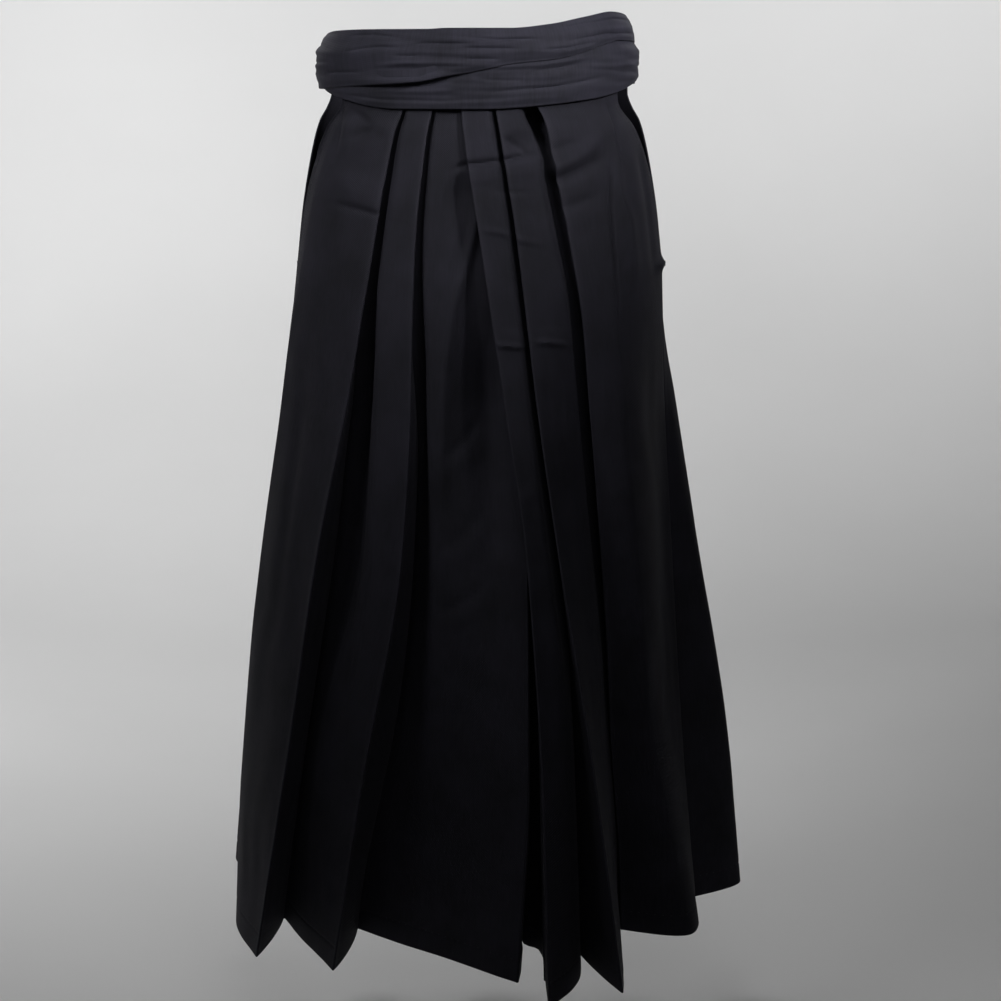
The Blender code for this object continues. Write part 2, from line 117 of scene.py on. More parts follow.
# Each pressed edge stands off the cloth under it, and a groove runs beside it.
# Millimetres at the heights of EDGE_LEVELS, in the order of the edges in the fold tables.
EDGE_LEVELS = (-0.055, -0.102, -0.125, SLIT_FOOT, LEVELS["thigh"], CROTCH)
FRONT_RIGHT_EDGES = (
    # lift                             groove depth                groove width
    ((1.5, 2.0, 2.0, 2.5, 2.0, 0.0),   (5, 7, 9, 16, 28, 26),      (3.4, 4.2, 5.0, 8.5, 29.0, 50.0)),
    ((1.5, 2.0, 2.0, 2.5, 2.0, 0.0),   (5, 7, 9, 14, 20, 8),       (3.4, 4.2, 5.0, 7.0, 11.0, 20.0)),
)
FRONT_LEFT_EDGES = (
    ((9.0, 4.0, 3.0, 3.0, 2.0, 0.0),   (42, 8, 11, 12, 9, 8),      (16.0, 9.0, 14.0, 11.5, 6.5, 8.0)),
    ((2.5, 2.5, 2.5, 2.5, 2.0, 0.0),   (6, 9, 7, 11, 15, 12),      (6.0, 5.0, 5.5, 7.0, 7.5, 11.0)),
    ((2.0, 2.5, 3.0, 3.0, 2.0, 0.0),   (0, 0, 0, 0, 0, 0),         (8.0, 8.0, 8.0, 8.0, 8.0, 8.0)),
)
# The right front sinks under the left one's edge
UNDER_C = ((0, 0, 5, 17, 19, 6), (6.0, 12.0, 22.0, 36.0, 46.0, 40.0))

# Creases that hand and iron left in the fronts. Millimetres: depth (out is positive) and
# half width of the line, height and reach of the soft swelling below it (above it where
# the reach is negative), then (x, z) along the line
FRONT_CREASES = (
    # line          swelling     line
    (-4.0,   3.0,   1.6,  11,   ((-30, -116), (-20, -111), (-8, -108), (22, -105), (46, -100), (66, -97))),
    (-2.6,   3.4,   0.0,  8,    ((23, -80), (34, -88), (50, -98))),
    (-5.0,   12.0,  0.0,  8,    ((26, -86), (62, -89))),
    (-1.4,   2.6,   0.8,  9,    ((14, -134), (34, -136), (50, -136))),
    (2.2,    3.2,   1.0,  -14,  ((0, -172), (22, -175), (40, -182), (64, -188))),
    (4.2,    2.6,   1.4,  -8,   ((15, -286), (34, -288), (52, -289))),
    (3.8,    2.6,   1.4,  -8,   ((55, -284), (74, -286), (92, -290))),
    (2.2,    2.4,   0.8,  -7,   ((38, -438), (60, -442))),
    (-3.8,   3.2,   1.4,  12,   ((-42, -570), (-26, -560), (-8, -548), (4, -536))),
    (-2.8,   3.8,   1.4,  12,   ((-40, -410), (-19, -392), (2, -366))),
    (-2.2,   3.6,   1.0,  12,   ((-44, -505), (-22, -490), (4, -462))),
    (-2.6,   3.2,   1.4,  -18,  ((-146, -149), (-124, -153), (-96, -160))),
    (-2.4,   3.6,   1.0,  10,   ((-132, -84), (-118, -78), (-104, -73))),
    (-2.4,   3.6,   1.4,  -12,  ((-132, -52), (-120, -60), (-106, -72))),
    (1.6,    12.0,  0.0,  8,    ((-150, -118), (-132, -132), (-108, -146))),
    (-2.0,   3.6,   0.0,  8,    ((70, -97), (82, -92), (98, -85))),
    (4.4,    6.5,   0.0,  8,    ((62, -120), (72, -114), (96, -104), (112, -91), (126, -77))),
    (-3.4,   5.5,   1.4,  14,   ((74, -127), (84, -123), (104, -113), (126, -102))),
    (-1.4,   6.0,   0.8,  12,   ((74, -154), (98, -148), (118, -140))),
    (-3.2,   1.7,   0.0,  8,    ((131, -88), (132, -105), (134, -163), (139, -224), (144, -290))),
    (2.6,    5.0,   0.0,  8,    ((139, -92), (143, -141), (153, -166), (158, -206), (160, -240))),
    (-2.6,   1.9,   0.0,  8,    ((124, -34), (128, -43), (137, -69), (143, -95), (146, -112))),
    (-2.2,   4.0,   0.0,  8,    ((160, -84), (164, -101), (173, -149), (179, -196), (184, -240))),
    (-2.4,   2.6,   1.2,  -9,   ((-137, -44), (-139, -62), (-142, -81), (-147, -104))),
    (2.6,    9.0,   0.0,  8,    ((-116, -76), (-100, -70), (-84, -68))),
    (2.0,    6.0,   0.0,  8,    ((-92, -420), (-96, -520), (-110, -640))),
    (-2.2,   6.0,   0.0,  8,    ((-180, -330), (-196, -440), (-214, -560))),
)
# The ridge on the right front, beside the dark hollow under the left one's edge
CENTRE_CREASES = (
    (6.0,    4.4,   0.0,  8,    ((6, -112), (0, -146), (-5, -176), (-12, -206), (-26, -260))),
    (4.5,    6.0,   0.0,  8,    ((-18, -226), (-26, -258), (-34, -310), (-38, -400), (-38, -470))),
    (-5.0,   13.0,  0.0,  8,    ((-12, -108), (-21, -134), (-34, -168), (-44, -204), (-54, -270))),
)


def smooth(t):
    """Rises from 0 to 1 with level ends while t goes from 0 to 1."""
    t = np.clip(t, 0.0, 1.0)
    return t * t * (3 - 2 * t)


def pchip(xs, ys, x):
    """Monotone cubic through (xs, ys), xs rising; held at its ends."""
    xs, ys = np.asarray(xs, float), np.asarray(ys, float)
    spans = np.diff(xs)
    slopes = np.diff(ys) / spans
    before, after = slopes[:-1], slopes[1:]
    w_before, w_after = 2 * spans[1:] + spans[:-1], spans[1:] + 2 * spans[:-1]
    agree = before * after > 0
    tangents = np.concatenate((slopes[:1], np.zeros(len(before)), slopes[-1:]))
    tangents[1:-1][agree] = ((w_before + w_after)[agree]
                             / (w_before[agree] / before[agree] + w_after[agree] / after[agree]))
    x = np.clip(x, xs[0], xs[-1])
    k = np.clip(np.searchsorted(xs, x, side="right") - 1, 0, len(spans) - 1)
    t, span = (x - xs[k]) / spans[k], spans[k]
    return (ys[k] * (1 + 2 * t) * (1 - t) ** 2 + tangents[k] * span * t * (1 - t) ** 2
            + ys[k + 1] * t * t * (3 - 2 * t) + tangents[k + 1] * span * t * t * (t - 1))


def figure(z):
    """Half width, front depth, back depth and middle of the figure at heights z."""
    return [pchip(-FIGURE[:, 0], FIGURE[:, k], -z) for k in (1, 2, 3, 4)]


def on_figure(bearing, out, z, sagging=True):
    """Points (x, y) at bearings in radians, a distance out from the figure's surface."""
    faded = smooth((SAG_FADES[0] - z) / (SAG_FADES[0] - SAG_FADES[1]))
    sag = SASH_SAG * (0.5 + 0.5 * np.cos(bearing)) * (1 - faded) * sagging
    half, front, back, middle = figure(z + sag)
    x = half * np.sin(bearing)
    y = -np.where(np.cos(bearing) > 0, front, back) * np.cos(bearing)
    grow = 1 + out / np.hypot(x, y)
    return np.stack((x * grow, middle + y * grow), axis=-1)


def bearing_of(point, z):
    """The bearing and distance out that on_figure turns into this point."""
    half, front, back, middle = [float(value) for value in figure(z)]
    depth = front if point[1] < middle else back
    bearing = math.atan2(point[0] / half, -(point[1] - middle) / depth)
    reach = math.hypot(point[0] / half, (point[1] - middle) / depth)
    radius = math.hypot(half * math.sin(bearing), depth * math.cos(bearing))
    return bearing, (reach - 1) * radius


def outward(points, z):
    """Unit vectors (x, y) straight out of the figure at points."""
    half, front, back, middle = figure(z)
    depth = np.where(points[..., 1] < middle, front, back)
    away = np.stack((points[..., 0] / half ** 2, (points[..., 1] - middle) / depth ** 2), axis=-1)
    return away / np.linalg.norm(away, axis=-1, keepdims=True)


def rows_between(stops):
    """Heights from the first stop down to the last: (height, pitch to the next stop)."""
    heights = [stops[0][0]]
    for (start, pitch), (stop, _) in zip(stops, stops[1:]):
        count = round((start - stop) / pitch)
        heights += [start + (stop - start) * (k + 1) / count for k in range(count)]
    return np.array(heights)


FOLD_LINE = HEM_FRONT + HEM_TURNED
HEIGHTS = rows_between(((CLOTH_TOP, 0.006), (-0.048, 0.0022), (-0.32, 0.006), (-0.90, 0.004),
                        (FOLD_LINE + 0.004, 0.001), (FOLD_LINE - 0.004, 0.004), (HEM_FRONT, 0)))
SHARES = [-height for height in LEVELS.values()]
HIP_ROW = int(np.argmin(np.abs(HEIGHTS - SLIT_FOOT)))


def tracks_of(table, side, end_layer):
    """For each fold, its bearing and distance out at every level."""
    tracks = []
    for kind, _, *places in table:
        bearings, outs = [], []
        for z, (x, y) in zip(LEVELS.values(), places):
            bearing, out = bearing_of((x / 1000, y / 1000), z)
            # At the back a bearing may pass the half turn, and goes on counting
            if abs(bearing) > math.pi / 2 and bearing * side < 0:
                bearing += side * 2 * math.pi
            if z >= SLIT_FOOT:
                out = LAYER_PITCH * (end_layer if kind == "end" else LAYERS[kind])
            bearings.append(bearing)
            outs.append(out)
        tracks.append((bearings, outs))
    return tracks


def side_at(track, z, lean):
    """A side edge: it slants beside the opening at the hip and is a seam below it."""
    drop = np.clip((LEVELS["waist"] - z) / (LEVELS["waist"] - SLIT_FOOT), 0.0, 1.0)
    slant = (track[0][0] - track[0][1]) * (1 - drop) ** lean
    return pchip(SHARES[1:], track[0][1:], -z) + slant, pchip(SHARES[1:], track[1][1:], -z)


def down_edge(millimetres, z):
    """A measure of a pressed edge, in metres at heights z, from its row at EDGE_LEVELS."""
    return pchip([-level for level in EDGE_LEVELS], [value / 1000 for value in millimetres], -z)


def unit(vectors):
    """The same directions, each of length 1."""
    return vectors / np.linalg.norm(vectors, axis=-1, keepdims=True)


def groove(bearing, z, cover, hidden, direction, depth, width):
    """How far cloth sinks beside the pressed edge that covers it, from a hidden fold on.

    It is deepest up to 0.3 of the width from that edge, and level again at 1.4 of it.
    """
    half, front, _, _ = figure(z)
    radius = np.hypot(half * np.cos(bearing), front * np.sin(bearing))
    past = (bearing - cover) * direction * radius
    reach = np.abs(hidden - cover) * radius * 0.9 + 1e-4
    wide = down_edge(width, z)
    below = smooth((z - LEVELS["calf"]) / (CROTCH - LEVELS["calf"]))
    return below * down_edge(depth, z) * np.where(
        past > 0, smooth((1.4 * wide - past) / (1.1 * wide)), smooth(1 + past / reach))


def crowded(count, near):
    """Shares from 0 to 1, closer together round each share in near."""
    fine = np.linspace(0, 1, 301)
    closer, reach = CROWDING
    density = 1 + sum([closer * np.exp(-((fine - share) / reach) ** 2) for share in near], 0 * fine)
    run = np.concatenate(([0], np.cumsum(density[1:] + density[:-1])))
    count = round(count * density.mean())
    return np.interp(np.linspace(0, 1, count + 1), run / run[-1], fine)


def through(points, k, t):
    """Points at shares t of the span after points[k], on a smooth curve through points."""
    spans = [b - a for a, b in zip(points, points[1:])]
    lengths = [np.linalg.norm(span, axis=-1, keepdims=True) for span in spans]
    slopes = [span / length for span, length in zip(spans, lengths)]

    def tangent(i):
        if len(spans) == 1:
            return slopes[0]
        if i == 0:
            return 1.5 * slopes[0] - 0.5 * tangent(1)
        if i == len(spans):
            return 1.5 * slopes[-1] - 0.5 * tangent(i - 1)
        return (points[i + 1] - points[i - 1]) / (lengths[i - 1] + lengths[i])

    start, stop, length = tangent(k), tangent(k + 1), lengths[k]
    return (points[k] * ((1 + 2 * t) * (1 - t) ** 2) + start * length * (t * (1 - t) ** 2)
            + points[k + 1] * (t * t * (3 - 2 * t)) + stop * length * (t * t * (t - 1)))


def pleated_cloth(table, side, end_layer, lean, pitch, edges, under=None):
    """Section points of one panel at every height, and what the finish needs of each.

    Gives points (rows, columns, 2), and for each column: how far along the flat cloth it
    lies at the hem, whether it is on a span that shows, and its distance from a pressed fold.
    """
    z = HEIGHTS
    opened = smooth((OPENS_FROM - z) / (OPENS_FROM - LEVELS["thigh"]))[:, None]
    free = smooth((SASH_FOOT - z) / 0.02)
    tracks = tracks_of(table, side, end_layer)
    keys = [side_at(tracks[0], z, lean)]
    keys += [(pchip(SHARES, b, -z), pchip(SHARES, o, -z)) for b, o in tracks[1:]]
    kinds = [row[0] for row in table]
    lifts = iter(edges)
    depths = {}
    for k, kind in enumerate(kinds):
        if kind == "edge":
            lift, depth, width = next(lifts)
            keys[k] = (keys[k][0], keys[k][1] + down_edge(lift, z) * free * (1 - opened[:, 0]))
            depths[k + 1] = (depth, width)
    spots = [on_figure(bearing, out, z) for bearing, out in keys]
    half, front, _, centre = figure(z)
    middle = np.stack((np.zeros(len(z)), centre), axis=-1)

    ends, noses = {}, {}
    for k in (0, len(table) - 1):
        ends[k] = (spots[k], spots[k])
    for k, kind in enumerate(kinds):
        if kind in ("edge", "tuck"):
            axis = unit(spots[k] - spots[k - 1]) - unit(spots[k + 1] - spots[k])
            across = np.stack((-axis[:, 1], axis[:, 0]), axis=-1)
            facing = np.sign((across * (spots[k] - middle)).sum(-1, keepdims=True))
            layer = unit(across) * facing * LAYER_PITCH / 2
            ends[k] = (spots[k] + layer, spots[k] - layer)
            turns = [math.pi * i / NOSE_STEPS for i in range(1, NOSE_STEPS)]
            noses[k] = [spots[k] + layer * math.cos(turn)
                        + unit(axis) * (LAYER_PITCH / 2 * math.sin(turn)) for turn in turns]

    columns, shown, fold_marks = [], [], []
    stops = sorted(ends)
    for start, stop in zip(stops, stops[1:]):
        controls = [ends[start][1]] + spots[start + 1:stop] + [ends[stop][0]]
        reach = keys[stop][0] - keys[start][0]
        direction = 1 if reach.mean() > 0 else -1
        out_first = keys[start][1] - (LAYER_PITCH / 2 if start in noses else 0)
        out_last = keys[stop][1] + (LAYER_PITCH / 2 if stop in noses else 0)
        low, high = np.zeros(len(z)), np.ones(len(z))
        if kinds[start] == "tuck" and kinds[stop] == "edge":
            slack = PLEAT_SLACK / np.abs(reach)
            low = np.clip((keys[start - 1][0] - keys[start][0]) / reach + slack, 0, RISE_SHARES[0])
            high = np.clip((keys[stop + 1][0] - keys[start][0]) / reach - slack, RISE_SHARES[1], 1)
        swell = table[start][1] / 1000
        chord = controls[-1] - controls[0]
        sideways = unit(np.stack((-chord[:, 1], chord[:, 0]), axis=-1))
        sideways *= np.sign((sideways * (controls[0] - middle)).sum(-1, keepdims=True))
        returning = kinds[start] == "edge"
        if start in noses:
            columns += noses[start]
            shown += [not returning] * len(noses[start])
            fold_marks += [len(columns) - len(noses[start]) // 2 - 1]
        covers = []
        if start in depths:
            covers.append((keys[start - 1][0], keys[start][0], direction, *depths[start]))
        if under and stop == stops[-1]:
            covers.append((pchip(SHARES, under[0], -z), keys[stop][0], -direction, *under[1]))
        for k in range(start, stop):
            hem_length = np.linalg.norm(controls[k - start + 1] - controls[k - start], axis=-1)[-1]
            near = [(cover[0] - keys[k][0])[HIP_ROW] / (keys[k + 1][0] - keys[k][0])[HIP_ROW]
                    for cover in covers]
            near += [share for share in (0.0, 1.0) if kinds[k + int(share)] == "line"]
            spacing = pitch * (HIDDEN_PITCH if returning else 1.0)
            shares = crowded(max(3, round(hem_length / spacing)), near)
            for t in shares[:None if k == stop - 1 else -1]:
                bearing = keys[k][0] + (keys[k + 1][0] - keys[k][0]) * t
                share = (bearing - keys[start][0]) / reach
                out = out_first + (out_last - out_first) * smooth((share - low) / (high - low))
                pressed = on_figure(bearing, out, z)
                along = (k - start + t) / (stop - start)
                hanging = through(controls, k - start, t) + sideways * (swell * 4 * along * (1 - along))
                place = pressed + (hanging - pressed) * opened
                real = np.arctan2(place[:, 0] / half, (centre - place[:, 1]) / front)
                bearing = bearing + (real - bearing) * opened[:, 0] * (abs(bearing) < 1.5)
                for cover in covers:
                    sunk = free * groove(bearing, z, *cover)
                    place = place - outward(place, z) * sunk[:, None]
                columns.append(place)
                shown.append(not returning)
    points = np.stack(columns, axis=1)
    points[:, 0] += unit(points[:, 1] - points[:, 0]) * SEAM_GAP
    flat = np.concatenate(([0.0], np.cumsum(np.linalg.norm(np.diff(points[-1], axis=0), axis=-1))))
    lengths = np.cumsum(np.linalg.norm(np.diff(points, axis=1), axis=-1), axis=1)
    lengths = np.concatenate((np.zeros((len(z), 1)), lengths), axis=1)
    from_fold = np.min([np.abs(lengths - lengths[:, k:k + 1]) for k in fold_marks], axis=0)
    return points, flat, np.array(shown), from_fold


def hem_drop(y, z):
    """The hem rises towards the back; rows near it follow."""
    share = smooth((LEVELS["crotch"] - z) / (LEVELS["crotch"] - HEM_FRONT))
    return HEM_RISE * (y - HEM_FRONT_Y) * share


def ripple(along, z, waves, seed):
    """Slow swells of hanging cloth, in metres: (wavelength across, drop, height) each."""
    random = np.random.default_rng(seed)
    total = 0.0
    for across, drop, height in waves:
        a, b, c = random.uniform(0, 2 * math.pi, 3)
        wander = 1.4 * np.sin(2 * math.pi * z / drop + a)
        fade = 0.55 + 0.45 * np.sin(2 * math.pi * z / (1.6 * drop) + b)
        total = total + height * np.sin(2 * math.pi * along / across + wander + c) * fade
    return total


def crease_height(x, z, creases):
    """Height, in metres, of a list of creases at the points (x, z) of a surface."""
    total = np.zeros_like(x)
    for depth, width, swell, reach, line in creases:
        line = np.array(line, float) / 1000
        width, side, reach = width / 1000, math.copysign(1, reach), abs(reach) / 1000
        nearest, signed, share = np.full_like(x, 9.0), np.zeros_like(x), 0 * x
        lengths = np.linalg.norm(np.diff(line, axis=0), axis=-1)
        run = 0.0
        for a, b, length in zip(line, line[1:], lengths):
            step = (b - a) / length
            at = np.clip((x - a[0]) * step[0] + (z - a[1]) * step[1], 0, length)
            gap = np.hypot(x - a[0] - at * step[0], z - a[1] - at * step[1])
            below = (x - a[0]) * step[1] - (z - a[1]) * step[0]
            closer = gap < nearest
            nearest = np.where(closer, gap, nearest)
            signed = np.where(closer, np.sign(below) * gap, signed)
            share = np.where(closer, (run + at) / lengths.sum(), share)
            run += length
        taper = smooth(share / 0.25) * smooth((1 - share) / 0.25) * 0.85 + 0.15
        off = np.clip(signed * side / reach, 0, 9)
        rise = swell * off * np.exp(1 - off) * smooth((2.4 * reach - nearest) / reach)
        total += taper / 1000 * (depth * np.exp(-(nearest / width) ** 2) + rise)
    return total


BAKE_MARGINS = (0.008, 0.004)      # round each face on its map, and the width of the rims' strips
SHARP_FROM = 62.0          # degrees between faces, from which an edge is drawn sharp


def cloth_mesh(name, grid, wall, along, down, pressed=None):
    """A sheet with real thickness from a grid of points: both faces and the rims.

    The map "weave" holds the flat cloth in metres. The map OFBake lays the two faces side by side.
    """
    rows, cols = grid.shape[:2]
    slope_down, slope_along = np.gradient(grid, axis=0), np.gradient(grid, axis=1)
    normal = unit(np.cross(slope_down, slope_along))
    verts = np.concatenate(((grid + normal * wall / 2).reshape(-1, 3),
                            (grid - normal * wall / 2).reshape(-1, 3)))
    index = np.arange(rows * cols).reshape(rows, cols)
    far = rows * cols
    face = np.stack((index[:-1, :-1], index[1:, :-1], index[1:, 1:], index[:-1, 1:]), -1).reshape(-1, 4)
    rims = [np.stack((a, b), -1) for a, b in (
        (index[:-1, 0], index[1:, 0]), (index[-1, :-1], index[-1, 1:]),
        (index[1:, -1], index[:-1, -1]), (index[0, 1:], index[0, :-1]))]
    rim = np.concatenate(rims)
    rim_faces = np.stack((rim[:, 1], rim[:, 0], rim[:, 0] + far, rim[:, 1] + far), -1)
    faces = np.concatenate((face, face[:, ::-1] + far, rim_faces))

    mesh = bpy.data.meshes.new(name)
    mesh.vertices.add(len(verts))
    mesh.vertices.foreach_set("co", verts.ravel())
    mesh.loops.add(faces.size)
    mesh.loops.foreach_set("vertex_index", faces.ravel())
    mesh.polygons.add(len(faces))
    mesh.polygons.foreach_set("loop_start", np.arange(0, faces.size, 4))
    mesh.polygons.foreach_set("loop_total", np.full(len(faces), 4))
    mesh.update(calc_edges=True)

    flat = np.stack(np.broadcast_arrays(along, down), -1).reshape(-1, 2)
    flat = np.concatenate((flat, flat))
    weave = mesh.uv_layers.new(name="weave")
    weave.uv.foreach_set("vector", flat[faces].ravel())
    margin, strip = BAKE_MARGINS
    laid = (flat - flat.min(0)) / np.ptp(flat, axis=0)
    laid[:, 1] = 1 - laid[:, 1]
    laid = margin + laid * (np.array((0.5, 1.0)) - 2 * margin)
    laid[far:, 0] += 0.5
    corners = laid[faces]
    shift = np.zeros((len(rim), 2))
    firsts = np.cumsum([0] + [len(part) for part in rims])
    for k, step in enumerate(((-strip, 0), (0, -strip), (strip, 0), (0, strip))):
        shift[firsts[k]:firsts[k + 1]] = step
    corners[-len(rim):, 2] = laid[rim[:, 0]] + shift
    corners[-len(rim):, 3] = laid[rim[:, 1]] + shift
    bake = mesh.uv_layers.new(name="OFBake")
    bake.uv.foreach_set("vector", corners.ravel())
    # The attribute pressed holds the ironed-fold mask: lower roughness there, and a painted highlight that
    # lightens the colour along the folds
    press_gloss_and_painted_highlight = mesh.attributes.new("pressed", "FLOAT", "POINT")
    press_gloss_and_painted_highlight.data.foreach_set("value", np.zeros(2 * far) if pressed is None
                           else np.concatenate((pressed.ravel(), pressed.ravel())))
    mesh.validate()
    mesh.shade_smooth()
    mesh.set_sharp_from_angle(angle=math.radians(SHARP_FROM))
    piece = bpy.data.objects.new(name, mesh)
    bpy.context.scene.collection.objects.link(piece)
    return piece


def linear(code):
    """An sRGB hex colour as linear RGBA."""
    parts = [int(code[k:k + 2], 16) / 255 for k in (1, 3, 5)]
    return tuple(p / 12.92 if p <= 0.04045 else ((p + 0.055) / 1.055) ** 2.4 for p in parts) + (1.0,)


def add(material, kind, settings=None, **links):
    """Adds a node. settings are its own values and its inputs'; links feed its inputs."""
    tree = material.node_tree
    node = tree.nodes.new(kind)
    for key, value in (settings or {}).items():
        if isinstance(key, str) and hasattr(node, key):
            setattr(node, key, value)
        else:
            node.inputs[key].default_value = value
    for key, source in links.items():
        tree.links.new(source, node.inputs[key.replace("_", " ") if key.replace("_", " ") in node.inputs
                                           else int(key[1:])])
    return node


def new_material(name):
    """A material without nodes yet."""
    material = bpy.data.materials.new(name)
    material.use_nodes = True
    material.node_tree.nodes.clear()
    return material


def woven_cloth(name, dark, light, twill_mm, slant, roughness, sheen, sheen_tint, relief):
    """Woven cloth: a diagonal twill line, uneven yarns, and ironed edges with less roughness, whose colour
    is also lightened there as a painted highlight.
    """
    material = new_material(name)
    weave = add(material, "ShaderNodeUVMap", {"uv_map": "weave"}).outputs["UV"]
    turned = add(material, "ShaderNodeMapping", {"Rotation": (0, 0, slant)}, Vector=weave)
    # A wave node's bands lie 2 pi / 20 apart at scale 1
    twill = add(material, "ShaderNodeTexWave", {"Scale": math.pi / 10 / (twill_mm / 1000),
                "Distortion": 1.2, "Detail": 1.0, "Detail Scale": 0.4}, Vector=turned.outputs[0])
    drawn = add(material, "ShaderNodeMapping", {"Scale": (420, 42, 1)}, Vector=weave)
    yarn = add(material, "ShaderNodeTexNoise", {"Scale": 1.0, "Detail": 3.0}, Vector=drawn.outputs[0])
    place = add(material, "ShaderNodeTexCoord").outputs["Object"]
    cloud = add(material, "ShaderNodeTexNoise", {"Scale": 17.0, "Detail": 4.0, "Roughness": 0.6},
                Vector=place)
    tone = add(material, "ShaderNodeMath", {"operation": "MULTIPLY_ADD", 1: 0.55},
               i0=yarn.outputs["Fac"], i2=cloud.outputs["Fac"])
    spread = add(material, "ShaderNodeMapRange", {"From Min": 0.53, "From Max": 1.07},
                 Value=tone.outputs[0])
    # The ironed-fold mask lowers the roughness and also lightens the colour along the folds: a painted
    # highlight
    fold_gloss_and_painted_highlight = add(material, "ShaderNodeAttribute", {"attribute_name": "pressed"}).outputs["Fac"]
    lighter = add(material, "ShaderNodeMath", {"operation": "MULTIPLY_ADD", 1: 0.45},
                  i0=fold_gloss_and_painted_highlight, i2=spread.outputs[0])
    colour = add(material, "ShaderNodeMix", {"data_type": "RGBA", "blend_type": "MIX"})
    colour.inputs[6].default_value = linear(dark)
    colour.inputs[7].default_value = linear(light)
    material.node_tree.links.new(lighter.outputs[0], colour.inputs[0])
    rough = add(material, "ShaderNodeMapRange", {"From Min": 0.0, "From Max": 1.0,
                "To Min": roughness, "To Max": roughness - 0.16}, Value=fold_gloss_and_painted_highlight)
    raised = add(material, "ShaderNodeMath", {"operation": "MULTIPLY_ADD", 1: 0.6},
                 i0=yarn.outputs["Fac"], i2=twill.outputs["Fac"])
    bump = add(material, "ShaderNodeBump", {"Strength": relief, "Distance": 0.0006},
               Height=raised.outputs[0])
    shader = add(material, "ShaderNodeBsdfPrincipled", {"Sheen Weight": sheen,
                 "Sheen Roughness": 0.45, "Sheen Tint": linear(sheen_tint), "IOR": 1.45,
                 "Specular IOR Level": 0.25},
                 Base_Color=colour.outputs[2], Roughness=rough.outputs[0], Normal=bump.outputs[0])
    add(material, "ShaderNodeOutputMaterial", {}, Surface=shader.outputs[0])
    return material


# Polyester and rayon twill, piece-dyed near-black with a blue-purple cast: a matt face
# with a faint sheen. The real twill line is 0.7 mm; it is drawn at 1.5 mm so that it shows.
TWILL = woven_cloth("polyester_rayon_twill", "#131319", "#201f28", twill_mm=1.5,
                    slant=math.radians(63), roughness=0.84, sheen=0.04, sheen_tint="#9c9aa8",
                    relief=0.35)


def good_side(grid):
    """Unit vectors out of the good side of a grid whose columns run rightwards on it."""
    return unit(np.cross(np.gradient(grid, axis=0), np.gradient(grid, axis=1)))


TURN_PITCH = 0.0014        # between a turned edge and the cloth that it lies against
SEAM_TURNED = 0.010        # width turned in at a side edge
HEM_ROWS = int((HEIGHTS <= FOLD_LINE + 1e-6).sum())
HEM_DRAWN = 0.0007         # depth of the line that the blind stitches draw round the hem


def turn_side_in(grid, along, out):
    """Folds the first column back inside, as a pressed edge. It narrows into the hem."""
    full = 0.1 + 0.9 * smooth((HEIGHTS[-len(grid):] - FOLD_LINE) / 0.015)
    inward = -out * TURN_PITCH * full[:, None, None]
    lengths = np.linalg.norm(np.diff(grid, axis=1), axis=-1)
    run = np.concatenate((np.zeros((len(grid), 1)), np.cumsum(lengths, axis=1)), axis=1)
    layers, flat = [], []
    for reach in SEAM_TURNED * np.array((1.0, 0.66, 0.33, 0.1)):
        layers.append(np.array([[np.interp(reach * full[row], run[row], (grid + inward)[row, :, axis])
                                 for axis in range(3)] for row in range(len(grid))]))
        flat.append(along[0] - TURN_PITCH - reach)
    outside = unit(grid[:, 0] - grid[:, 1]) * TURN_PITCH / 2
    for turn in np.radians((150, 110, 70, 30)):
        layers.append(grid[:, 0] + inward[:, 0] * (0.5 - 0.5 * math.cos(turn))
                      + outside * math.sin(turn))
        flat.append(along[0] - TURN_PITCH * turn / math.pi)
    return np.concatenate((np.stack(layers, axis=1), grid), axis=1), np.concatenate((flat, along))


def turn_hem_up(grid, down, out):
    """Folds the last rows back up inside, to the line where the hem is sewn."""
    inward = -out * TURN_PITCH * np.array((1, 1, 0))
    nose = [grid[-1] + inward[-1] * (0.5 - 0.5 * math.cos(turn))
            - np.array((0, 0, TURN_PITCH / 2 * math.sin(turn))) for turn in np.radians((30, 90, 150))]
    layer = (grid + inward)[::-1][:HEM_ROWS]
    steps = down[-1] + TURN_PITCH * np.array((0.25, 0.5, 0.75))
    back = 2 * down[-1] + TURN_PITCH - down[::-1][:HEM_ROWS]
    return np.concatenate((grid, np.stack(nose), layer)), np.concatenate((down, steps, back))


def dress(piece, slot, material, *nodes):
    """Gives a piece its finish and its place in the garment."""
    piece.data.materials.append(material)
    if nodes:
        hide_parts(*nodes)
    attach(piece, "root")


SEWING = []                # the stitches of every piece, made into one mesh at the end
HEM_STITCH = (0.009, 0.0014)       # from one stitch to the next, and the length of one
OPENING_STITCH = (0.0045, 0.0032)
OPENING_MARGIN = 0.006     # from the edge of the hip opening to the line of stitches beside it
TACK = dict(ahead=0.0045, behind=0.0009, rows=6, pitch=0.0009)


def stitch_row(points, normals, pitch, length):
    """Start, end and outward direction of each stitch along a path on the cloth's face."""
    run = np.concatenate(([0.0], np.cumsum(np.linalg.norm(np.diff(points, axis=0), axis=-1))))
    starts = np.arange(pitch / 2, run[-1] - length, pitch)

    def at(values, where):
        return np.stack([np.interp(where, run, values[:, axis]) for axis in range(3)], axis=-1)

    return np.stack((at(points, starts), at(points, starts + length),
                     unit(at(normals, starts + length / 2))), axis=1)


